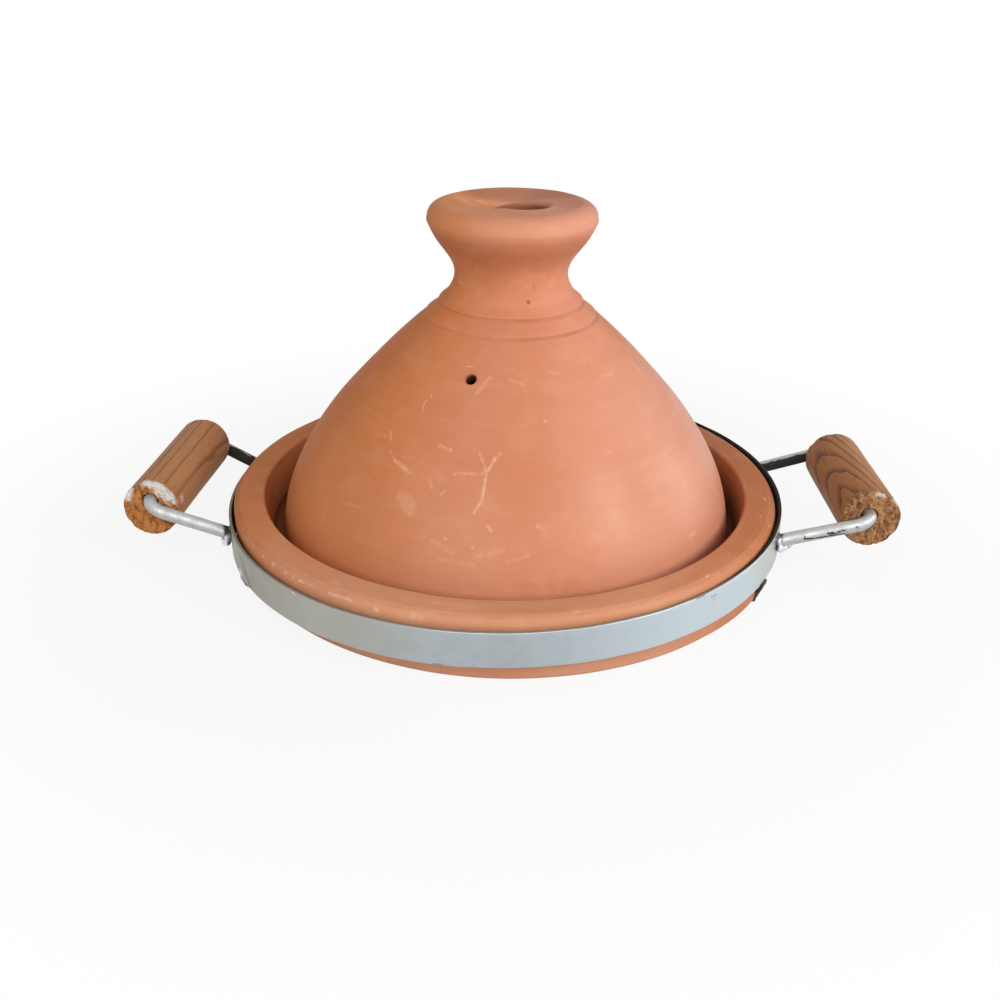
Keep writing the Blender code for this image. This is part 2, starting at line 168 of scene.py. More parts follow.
clay = {
    # the last colour on the next line is for pale chips and scratches, and for painted highlights on the knob
    "deep": (0.510, 0.168, 0.068), "pale": (0.740, 0.360, 0.215), "mark": (0.800, 0.455, 0.300),
    # painted shade: the first colour on the next line darkens gaps, ridge steps, recesses and pits, the
    # second, darker one fills the vent
    "shadeAndPits": (0.200, 0.060, 0.022), "shadeAndBurn": (0.040, 0.016, 0.010), "backTurn": 30.0, "relief": 0.00012,
    "sheenSide": (0.0, 0.5, 0.0), "sheenTop": (0.128, 0.104), "sheenRoughness": 0.40,
    # spans say where a value fades from and to, then its weakest and strongest share
    "paleLines": (0.52, 0.72, 0.0, 0.14), "deepLines": (0.46, 0.28, 0.0, 0.14),
    "deepGrain": (0.40, 0.25, 0.0, 0.14), "linesHeight": 0.7, "grainHeight": 0.3, "paleHeight": -0.5,
    # noise as scale, detail and roughness
    "grain": (1300.0, 3.0, 0.6), "throwLines": (1.0, 4.0, 0.62), "throwTurn": 0.9,
    "streak": (1.0, 3.0, 0.6), "streakTurn": 4.0, "streakLevel": 130.0,
    "streakDeep": (0.50, 0.34, 0.0), "streakPale": (0.52, 0.70, 0.0),
    # patches: noise and its span
    "broad": ((11.0, 2.0), (0.38, 0.66, 0.0, 0.275)), "patch": ((60.0, 5.0, 0.65), (0.48, 0.75, 0.0, 0.30)),
    "fleck": ((2100.0, 0.0), (0.76, 0.86, 0.0, 0.5)), "broken": ((520.0, 3.0, 0.6), (0.32, 0.56, 0.25, 1.0)),
    "worn": ((45.0, 3.0), (0.3, 0.7, 0.6, 1.0)), "rough": ((120.0, 4.0, 0.6), (0.3, 0.7, 0.48, 0.62)),
}
metal = {  # cloud noise, then how much finer the grain is and its detail
    "cloud": (4.0, 0.6), "finer": 9.0, "grain": 2.0, "mid": (0.3, 0.7),
    "steelSize": 0.004, "steelCloud": (0.42, 0.72), "steelWear": (0.62, 0.78, 0.0, 0.5), "relief": 0.00010,
}


def makeRingPlace():  # object coordinates turned into (angle from the front, height, radius)
    tree, given, out = startGroup("ringPlace", {"Place": "Vector"}, {"Ring": "Vector"})
    x, y, z = splitOf(given["Place"])
    angle = mathOf("ARCTAN2", x, times(y, -1.0))
    connect(joinOf(angle, z, flatLength(given["Place"])), out["Ring"])
    return tree


def makeStrokeMark():  # 1 along a line between two points, fading over its width
    inputs = {"Place": "Vector", "Start": "Vector", "End": "Vector", "Width": "Float"}
    tree, given, out = startGroup("strokeMark", inputs, {"Mask": "Float"})
    along = vectorOf("SUBTRACT", given["End"], given["Start"])
    away = vectorOf("SUBTRACT", given["Place"], given["Start"])
    share = mathOf("DIVIDE", vectorOf("DOT_PRODUCT", away, along), vectorOf("DOT_PRODUCT", along, along))
    share = makeNode(tree, "Clamp", (), {"Value": share}).outputs[0]
    distance = vectorOf("DISTANCE", away, scaled(along, share))
    connect(rangeOf(distance, given["Width"], times(given["Width"], 0.3)), out["Mask"])
    return tree


def makeThrowLines():  # fine level lines left by the wheel
    tree, given, out = startGroup("throwLines", {"Ring": "Vector", "Pitch": "Float"}, {"Lines": "Float"})
    angle, height, radius = splitOf(given["Ring"])
    finer = mathOf("DIVIDE", 1.0, given["Pitch"])
    place = joinOf(times(angle, clay["throwTurn"]), times(height, finer), times(radius, finer))
    connect(noiseOf(place, *clay["throwLines"]), out["Lines"])
    return tree


def makeClayBody():  # colour and relief of bare fired clay
    inputs = {"Place": "Vector", "Ring": "Vector", "Tone": "Color", "Deep": "Color", "Pale": "Color",
              "Pitch": "Float"}
    tree, given, out = startGroup("clayBody", inputs, {"Colour": "Color", "Height": "Float"})
    place, deep, pale = given["Place"], given["Deep"], given["Pale"]
    lines = useGroup(throwLines, {"Ring": given["Ring"], "Pitch": given["Pitch"]})["Lines"]
    grain = noiseOf(place, *clay["grain"])
    colour = mixOf(patchOf(place, *clay["broad"]), given["Tone"], deep)
    colour = mixOf(patchOf(place, *clay["patch"]), colour, pale)
    colour = mixOf(rangeOf(lines, *clay["paleLines"]), colour, pale)
    colour = mixOf(rangeOf(lines, *clay["deepLines"]), colour, deep)
    colour = mixOf(rangeOf(grain, *clay["deepGrain"]), colour, deep)
    connect(mixOf(patchOf(place, *clay["fleck"]), colour, pale), out["Colour"])
    connect(plus(times(lines, clay["linesHeight"]), times(grain, clay["grainHeight"])), out["Height"])
    return tree


def makeMottle():  # cloudy metal surface, both values about 0.5
    tree, given, out = startGroup("metalMottle", {"Place": "Vector", "Size": "Float"},
                                  {"Cloud": "Float", "Grain": "Float"})
    scale = mathOf("DIVIDE", 1.0, given["Size"])
    connect(noiseOf(given["Place"], scale, *metal["cloud"]), out["Cloud"])
    connect(noiseOf(given["Place"], times(scale, metal["finer"]), metal["grain"]), out["Grain"])
    return tree


ringPlace = makeRingPlace()
strokeMark = makeStrokeMark()
throwLines = makeThrowLines()
clayBody = makeClayBody()
metalMottle = makeMottle()


def warpOf(place, scale, amount):  # shifts places a little, so that marks get ragged edges
    centred = vectorOf("SUBTRACT", noiseOf(place, scale, 3.0, output=1), (0.5, 0.5, 0.5))
    return vectorOf("ADD", place, scaled(centred, amount))


def ownPlace(place, matrix):  # object coordinates in the matrix's own frame
    inputs = {"Vector": place, "Location": matrix.to_translation(), "Rotation": matrix.to_euler("XYZ")}
    return makeNode(place.id_data, "Mapping", {"vector_type": "TEXTURE"}, inputs).outputs[0]


def marksOf(place, marks):  # strongest of many strokes: (start, end, width, strength)
    total = 0.0
    for start, end, width, strength in marks:
        inputs = {"Place": place, "Start": start, "End": end, "Width": width}
        total = larger(times(useGroup(strokeMark, inputs)["Mask"], strength), total)
    return total


def makeClay(name, looks, marksFor):
    material, shader, place = startMaterial(name)
    ring = useGroup(ringPlace, {"Place": place})["Ring"]
    angle, level, radius = splitOf(ring)
    right, tone = mathOf("SINE", angle), looks["tone"]
    ways = {"right": right, "front": mathOf("COSINE", angle),
            "backRight": mathOf("SINE", minus(angle, math.radians(clay["backTurn"])))}
    for way, low, high, share, colour in looks["paintedSideLight"]:  # painted light and shade, lighter or darker on each side
        tone = mixOf(rangeOf(ways[way], low, high, 0.0, share), tone, colour)
    for low, high, soft, factor in looks["paintedHeightLight"]:  # painted light and shade by height: lowest and highest height, soft edge, factor
        within = mathOf("MINIMUM", rangeOf(level, low - soft, low + soft),
                        rangeOf(level, high + soft, high - soft))
        tone = mixOf(within, tone, factor, "MULTIPLY")
    wipe = joinOf(times(angle, clay["streakTurn"]), times(level, clay["streakLevel"]),
                  times(radius, clay["streakLevel"]))
    streak = noiseOf(wipe, *clay["streak"])  # the wet hand's streaks round the wheel
    tone = mixOf(rangeOf(streak, *clay["streakDeep"], looks["streaks"]), tone, clay["deep"])
    tone = mixOf(rangeOf(streak, *clay["streakPale"], looks["streaks"]), tone, clay["pale"])
    body = useGroup(clayBody, {"Place": place, "Ring": ring, "Tone": tone, "Deep": colour4(clay["deep"]),
                               "Pale": colour4(clay["pale"]), "Pitch": looks["pitch"]})
    # three masks: pale wear with painted highlights, painted shade with pits, and painted deep shade in the
    # vent
    pale, shadeAndPits, dark = marksFor(place, ring)
    pale = times(pale, patchOf(place, *clay["broken"]))
    colour = mixOf(pale, body["Colour"], clay["mark"])
    colour = mixOf(shadeAndPits, colour, clay["shadeAndPits"])
    colour = mixOf(dark, colour, clay["shadeAndBurn"])
    smooth = rangeOf(right, *clay["sheenSide"], looks["sheen"])  # rubbed smooth on one side
    smooth = times(times(smooth, patchOf(place, *clay["worn"])), rangeOf(level, *clay["sheenTop"]))
    setShader(shader, {"Base Color": colour, "Roughness": patchOf(place, *clay["rough"]),
                       "Specular IOR Level": looks["gloss"], "Coat Weight": smooth,
                       "Coat Roughness": clay["sheenRoughness"]},
              plus(body["Height"], times(pale, clay["paleHeight"])), clay["relief"])
    return material


# Mesh helpers

def addItem(name, data):
    item = bpy.data.objects.new(name, data)
    bpy.context.scene.collection.objects.link(item)
    return item


def meshOf(bm, name):
    mesh = bpy.data.meshes.new(name)
    bm.to_mesh(mesh)
    bm.free()
    return mesh


def between(start, end, share):
    return start + (end - start) * share


def shares(first, last, steps):
    return [step / steps for step in range(first, last)]


def quarter(steps):  # angles up to a right angle
    return [math.radians(90 * share) for share in shares(1, steps + 1, steps)]


def clamped(value):
    return min(max(value, 0.0), 1.0)


def eased(value):
    return clamped(value) ** 2 * (3 - 2 * clamped(value))


def hump(off):  # 1 in the middle, 0 at a distance of 1
    return (1 + math.cos(math.pi * min(abs(off), 1.0))) / 2


def bell(off, width):
    return math.exp(-(off / width) ** 2)


def frontTurn(point):
    return math.degrees(math.atan2(point.x, -point.y))


def fromFront(angle, radius, height):
    turn = math.radians(angle)
    return Vector((radius * math.sin(turn), -radius * math.cos(turn), height))


def facing(point, way):  # a frame at the point with its Z along the way
    place = way.to_track_quat("Z", "Y").to_matrix().to_4x4()
    place.translation = point
    return place


def fillHoles(bm):
    bmesh.ops.holes_fill(bm, edges=[edge for edge in bm.edges if edge.is_boundary], sides=0)


def spinProfile(profile, steps, closed=False):  # one wedge is spun, then copied round
    wedges = 8
    bm = bmesh.new()
    verts = [bm.verts.new((r, 0.0, z)) for r, z in profile]
    edges = [bm.edges.new(pair) for pair in zip(verts, verts[1:])]
    if closed:
        edges.append(bm.edges.new((verts[-1], verts[0])))
    bmesh.ops.spin(bm, geom=verts + edges, cent=(0, 0, 0), axis=(0, 0, 1), angle=math.tau / wedges,
                   steps=steps // wedges, use_merge=False, use_duplicate=False)
    wedge = [*bm.verts, *bm.edges, *bm.faces]
    for index in range(1, wedges):
        made = bmesh.ops.duplicate(bm, geom=wedge)["geom"]
        bmesh.ops.rotate(bm, verts=[item for item in made if isinstance(item, bmesh.types.BMVert)],
                         cent=(0, 0, 0), matrix=Matrix.Rotation(math.tau * index / wedges, 3, "Z"))
    bmesh.ops.remove_doubles(bm, verts=bm.verts, dist=2e-6)
    bmesh.ops.dissolve_degenerate(bm, edges=bm.edges, dist=1e-7)
    bmesh.ops.recalc_face_normals(bm, faces=bm.faces)
    return bm


def arcPoints(centreR, centreZ, radius, start, end, steps):
    angles = [math.radians(between(start, end, share)) for share in shares(0, steps + 1, steps)]
    return [(centreR + radius * math.cos(a), centreZ + radius * math.sin(a)) for a in angles]


def makeUneven(bm, size, amount):  # a hand's unevenness, along the normals
    bm.normal_update()
    for vert in bm.verts:
        vert.co += vert.normal * noise.noise(vert.co / size) * amount


def dressPiece(mesh, name, nodes, body, slot, materials, sharp=35):
    for material in materials:
        mesh.materials.append(material)
    mesh.shade_smooth()
    mesh.set_sharp_from_angle(angle=math.radians(sharp))
    piece = addItem(name, mesh)
    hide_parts(*nodes)
    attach(piece, body)


def finishPiece(bm, name, *settings):
    dressPiece(meshOf(bm, name), name, *settings)


def appliedMesh(item, name):  # the item's mesh with its modifiers, the item itself is removed
    graph = bpy.context.evaluated_depsgraph_get()
    mesh = bpy.data.meshes.new_from_object(item.evaluated_get(graph))
    mesh.name = name
    bpy.data.objects.remove(item, do_unlink=True)
    return mesh


# Camera, stage and light

camera = {"place": (0.0, -0.6129, 0.3206), "tilt": 64.10, "lens": 42.0,
          "turn": 0.0039, "roll": 0.0124}  # the last two in radians


def makeCamera():
    data = bpy.data.cameras.new("camera")
    data.lens = camera["lens"]
    data.sensor_width = 36.0
    item = addItem("camera", data)
    item.matrix_world = (Matrix.Translation(camera["place"]) @ Matrix.Rotation(camera["turn"], 4, "Z")
                         @ Matrix.Rotation(math.radians(camera["tilt"]), 4, "X")
                         @ Matrix.Rotation(camera["roll"], 4, "Z"))
    bpy.context.scene.camera = item


stage = {
    "flatRadius": 2.6, "bendRadius": 1.0, "wallTop": 2.4, "drop": 0.0003,
    "albedo": (0.78, 0.78, 0.78), "nearWhite": 0.88,  # share of the white that no shadow takes away
    "allWhite": (0.20, 0.40),  # all white beyond this distance
    "horizonLight": (0.72, 0.665, 0.61), "zenithLight": (0.28, 0.265, 0.25), "target": (0.0, 0.0, 0.07),
    "lamps": {  # aim, distance, size, power, colour
        "key": ((0.71, -0.49, 0.44), 1.4, (0.5, 0.5), 7.5, (0.97, 0.97, 1.0)),
        "window": ((0.91, 0.22, 0.22), 1.4, (0.4, 0.5), 4.0, (0.95, 0.96, 1.0)),
        "fill": ((-0.03, -0.86, 0.52), 1.8, (1.5, 1.1), 17.5, (1.0, 0.98, 0.96)),
    },
}


def seenDirectly(tree):  # 1 for what the camera sees, also in metal and glass
    path = makeNode(tree, "LightPath").outputs
    return larger(larger(path["Is Camera Ray"], path["Is Glossy Ray"]), path["Is Transmission Ray"])


def makeStage():
    material = bpy.data.materials.new("paleSweep")
    material.use_nodes = True
    tree = material.node_tree
    tree.nodes.clear()
    paper = makeNode(tree, "BsdfDiffuse", (), {"Color": colour4(stage["albedo"])})
    white = makeNode(tree, "Emission", (), {"Color": (1, 1, 1, 1), "Strength": 1.0})
    away = vectorOf("LENGTH", makeNode(tree, "TexCoord").outputs["Object"])
    share = times(seenDirectly(tree), rangeOf(away, *stage["allWhite"], stage["nearWhite"], 1.0))
    mixed = makeNode(tree, "MixShader", (), {0: share, 1: paper.outputs[0], 2: white.outputs[0]})
    connect(mixed.outputs[0], makeNode(tree, "OutputMaterial").inputs["Surface"])
    flat, bend = stage["flatRadius"], stage["bendRadius"]
    bm = spinProfile([(0.0, 0.0), (0.4, 0.0), (1.2, 0.0), *arcPoints(flat, bend, bend, -90, 0, 12),
                      (flat + bend, stage["wallTop"])], 96)
    bmesh.ops.reverse_faces(bm, faces=[face for face in bm.faces if face.calc_center_median().dot(
        face.normal) > 0 and face.calc_center_median().z > 0.05])
    mesh = meshOf(bm, "floor")
    mesh.materials.append(material)
    mesh.shade_smooth()
    floor = addItem("floor", mesh)
    floor.location.z = -stage["drop"]


def makeWorld():
    world = bpy.data.worlds.new("studio")
    world.use_nodes = True
    tree = world.node_tree
    height = splitOf(makeNode(tree, "TexCoord").outputs["Generated"])[2]
    sky = mixOf(rangeOf(height, 0.15, 0.85), stage["horizonLight"], stage["zenithLight"])
    connect(mixOf(seenDirectly(tree), sky, (1.0, 1.0, 1.0)), tree.nodes["Background"].inputs["Color"])
    bpy.context.scene.world = world


def makeLamp(name, aim, distance, size, power, colour):
    data = bpy.data.lights.new(name, "AREA")
    data.shape = "RECTANGLE"
    data.size, data.size_y = size
    data.energy = power
    data.color = colour
    item = addItem(name, data)
    aim = Vector(aim).normalized()
    item.location = Vector(stage["target"]) + aim * distance
    item.rotation_euler = aim.to_track_quat("Z", "Y").to_euler()


makeCamera()
makeStage()
makeWorld()
for name, lamp in stage["lamps"].items():
    makeLamp(name, *lamp)
bpy.context.scene.view_settings.view_transform = "Standard"
print("stage: camera, sweep and lamps")


# Dish

dish = {
    "mouthRadius": 0.1363, "innerDraft": 0.0036, "seatHeight": 0.0120, "seatInnerRadius": 0.1150,
    "seatStep": 0.0014, "floorHeight": 0.0085, "floorCurve": 2.4, "floorCorner": 0.0030,
    "rimOuterRound": 0.0055, "rimInnerRound": 0.0016, "rimCurve": 6, "ripple": (0.00010, 31.0),
    "footTaperHeight": 0.0140, "footTaper": 0.0034, "footRound": 0.0030, "footShift": 0.0014,
    "footShiftHeight": 0.0076, "steps": 720, "uneven": (0.035, 0.00022),
    "grooves": ((0.1484, 0.00010, 0.0008), (0.1437, 0.00004, 0.0008), (0.1405, 0.00004, 0.0006)),
    # a flattened foot: front angle, half width, depth, power, from which radius, radius it is a share of
    "flatFoot": (-50.0, 55.0, 0.0007, 0.7, 0.14, 0.15),
    # bulges: front angle, half width, swell, height, reach
    "bulges": ((61.0, 23.0, 0.0027, 0.006, 0.012), (84.0, 45.0, 0.0012, 0.022, 0.010),
               (95.0, 80.0, 0.0006, 0.034, 0.008)),
    "bulgeFrom": 0.145, "bulgeRadius": 0.153,
    "pitch": 0.0021, "gloss": 0.05, "sheen": 0.0, "streaks": 0.18, "tone": (0.595, 0.222, 0.088),
    # painted light and shade by side: way, where it fades from and to, share, colour
    "paintedSideLight": (("front", 0.35, 0.85, 1.0, (0.642, 0.304, 0.176)),
              ("right", 0.55, 0.95, 0.9, (0.500, 0.195, 0.084)),
              ("backRight", 0.70, 1.0, 0.9, (0.400, 0.150, 0.068))),
    # painted light: a cooler colour on the foot below the hoop
    "paintedHeightLight": ((-0.1, 0.0130, 0.001, (0.93, 0.97, 1.02)),),
    # painted shade in the mouth between lid and dish and along the rim line, each as the range it fades over
    # and then its weakest and strongest share
    "mouthShade": (0.0016, 0.0004), "sideShade": (-0.6, 0.6, 0.28, 1.08),
    "wallShade": (0.038, 0.016, 0.0, 0.90), "seatShade": (0.0190, 0.0135, 0.0, 0.93),
    "rimLine": 0.1513, "lineShade": (0.0006, 0.0001, 0.0, 0.16), "lineHeight": (0.030, 0.033),
    "linePatch": ((90.0, 3.0, 0.6), (0.42, 0.62)),
    "chipDepth": 0.00035, "chipReach": (0.0016, 0.4), "chipWarp": (700.0, 0.0016),
    # pale chips on the rim: angle from the front, radius, length round the rim, width, strength
    "chips": (
        (-65.5, 0.1522, 0.0016, 0.0011, 0.5), (-58.0, 0.1531, 0.0014, 0.0009, 0.7),
        (-53.2, 0.1531, 0.0012, 0.0010, 0.9), (-49.2, 0.1530, 0.0012, 0.0015, 1.0),
        (-44.9, 0.1531, 0.0012, 0.0011, 1.0), (-42.6, 0.1531, 0.0010, 0.0010, 0.9),
        (-40.2, 0.1530, 0.0036, 0.0011, 0.9), (-37.6, 0.1530, 0.0014, 0.0011, 0.6),
        (-30.6, 0.1529, 0.0130, 0.0012, 0.8), (-22.7, 0.1532, 0.0012, 0.0016, 0.8),
        (-15.1, 0.1530, 0.0045, 0.0022, 0.35), (-33.0, 0.1480, 0.0050, 0.0022, 0.25),
        (-12.0, 0.1440, 0.0080, 0.0020, 0.20), (14.0, 0.1500, 0.0060, 0.0018, 0.22),
        (42.3, 0.1495, 0.0010, 0.0012, 0.9), (81.3, 0.1481, 0.0020, 0.0011, 0.6),
        (72.6, 0.1467, 0.0012, 0.0010, 0.5), (69.7, 0.1520, 0.0010, 0.0010, 0.6),
        (88.0, 0.1386, 0.0015, 0.0009, 0.6), (118.0, 0.1525, 0.0050, 0.0013, 0.8),
        (152.0, 0.1522, 0.0022, 0.0014, 0.8), (-141.0, 0.1526, 0.0035, 0.0012, 0.8),
        (-98.0, 0.1522, 0.0018, 0.0012, 0.7),
    ),
}


def dishRadius():
    low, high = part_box("dish")
    return (high.x - low.x) / 2


def dishProfile():
    radius, height = dishRadius(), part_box("dish")[1].z
    mouth, seat, seatR = dish["mouthRadius"], dish["seatHeight"], dish["seatInnerRadius"]
    corner, lip, rim = dish["floorCorner"], dish["rimInnerRound"], dish["rimOuterRound"]
    foot, taper = dish["footRound"], dish["footTaperHeight"]
    wallR, footR = mouth - dish["innerDraft"], radius - dish["footTaper"]
    points = [(seatR * share, between(dish["floorHeight"], seat, share ** dish["floorCurve"]))
              for share in shares(0, 24, 24)]
    points += [(seatR + dish["seatStep"] * step, seat) for step in range(10)]
    points += arcPoints(wallR - corner, seat + corner, corner, -90, 0, 6)
    start, (ripple, waves) = points[-1][1], dish["ripple"]
    points += [(between(wallR, mouth, share) + ripple * math.sin(share * waves),
                between(start, height - lip, share)) for share in shares(1, 14, 14)]
    points += arcPoints(mouth + lip, height - lip, lip, 180, 90, 6)
    start, outer = points[-1][0], arcPoints(radius - rim, height - rim, rim, 80, 0, 14)
    for share in shares(1, 26, 26):
        r = between(start, outer[0][0], share)
        carved = sum(depth * bell(r - place, width) for place, depth, width in dish["grooves"])
        points.append((r, between(height, outer[0][1], share ** dish["rimCurve"]) - carved))
    points += outer
    points += [(radius, between(outer[-1][1], taper, share)) for share in shares(1, 5, 5)]
    points += [(between(radius, footR, share), between(taper, foot, share)) for share in shares(0, 8, 8)]
    return points + arcPoints(footR - foot, foot, foot, 0, -90, 6) + [(0.0, 0.0)]


def rimPoint(angle, radius):
    rim = dish["rimOuterRound"]
    over = max(radius - (dishRadius() - rim), 0.0)
    drop = rim - math.sqrt(max(rim ** 2 - over ** 2, 0.0))
    return fromFront(angle, radius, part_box("dish")[1].z - drop)


def rimMarks(place, ring):
    marks = []
    for angle, radius, length, width, strength in dish["chips"]:
        half = math.degrees(length / radius) / 2
        marks.append((rimPoint(angle - half, radius), rimPoint(angle + half, radius), width, strength))
    # painted shade in the dish's mouth, stronger on the right, and a darker line along the rim
    angle, height, radius = splitOf(ring)
    within = rangeOf(radius, *(dish["mouthRadius"] + past for past in dish["mouthShade"]))
    wall = times(rangeOf(mathOf("SINE", angle), *dish["sideShade"]), rangeOf(height, *dish["wallShade"]))
    gap = times(within, larger(wall, rangeOf(height, *dish["seatShade"])))
    line = rangeOf(mathOf("ABSOLUTE", minus(radius, dish["rimLine"])), *dish["lineShade"])
    line = times(line, patchOf(place, *dish["linePatch"]))
    shadeAndPits = larger(gap, times(line, rangeOf(height, *dish["lineHeight"])))
    return marksOf(warpOf(place, *dish["chipWarp"]), marks), shadeAndPits, 0.0


def makeDish():
    bm = spinProfile(dishProfile(), dish["steps"])
    for vert in bm.verts:
        vert.co.x += dish["footShift"] * clamped(1 - vert.co.z / dish["footShiftHeight"])
    for middle, half, swell, level, reach in dish["bulges"]:
        for vert in bm.verts:
            if vert.co.xy.length > dish["bulgeFrom"]:
                share = hump((frontTurn(vert.co) - middle) / half) * hump((vert.co.z - level) / reach)
                vert.co.xy *= 1 + swell * share / dish["bulgeRadius"]
    middle, half, depth, power, inner, radius = dish["flatFoot"]
    for vert in bm.verts:
        down = 1 - vert.co.z / dish["footTaperHeight"]
        if down > 0 and vert.co.xy.length >= inner:
            vert.co.xy *= 1 - depth * hump((frontTurn(vert.co) - middle) / half) * down ** power / radius
    least, share = dish["chipReach"]
    chips = [(rimPoint(angle, radius), least + length * share) for angle, radius, length, *_ in dish["chips"]]
    for vert in bm.verts:
        if vert.co.z < dish["lineHeight"][0]:
            continue
        for point, reach in chips:
            gap = (vert.co - point).length
            if gap < reach:
                vert.co -= vert.normal * dish["chipDepth"] * (1 - gap / reach)
    makeUneven(bm, *dish["uneven"])
    finishPiece(bm, "clayDish", ["dish"], "dish", "fired_clay", [makeClay("wheelClayDish", dish, rimMarks)])


makeDish()
print("stage: dish")


# Lid

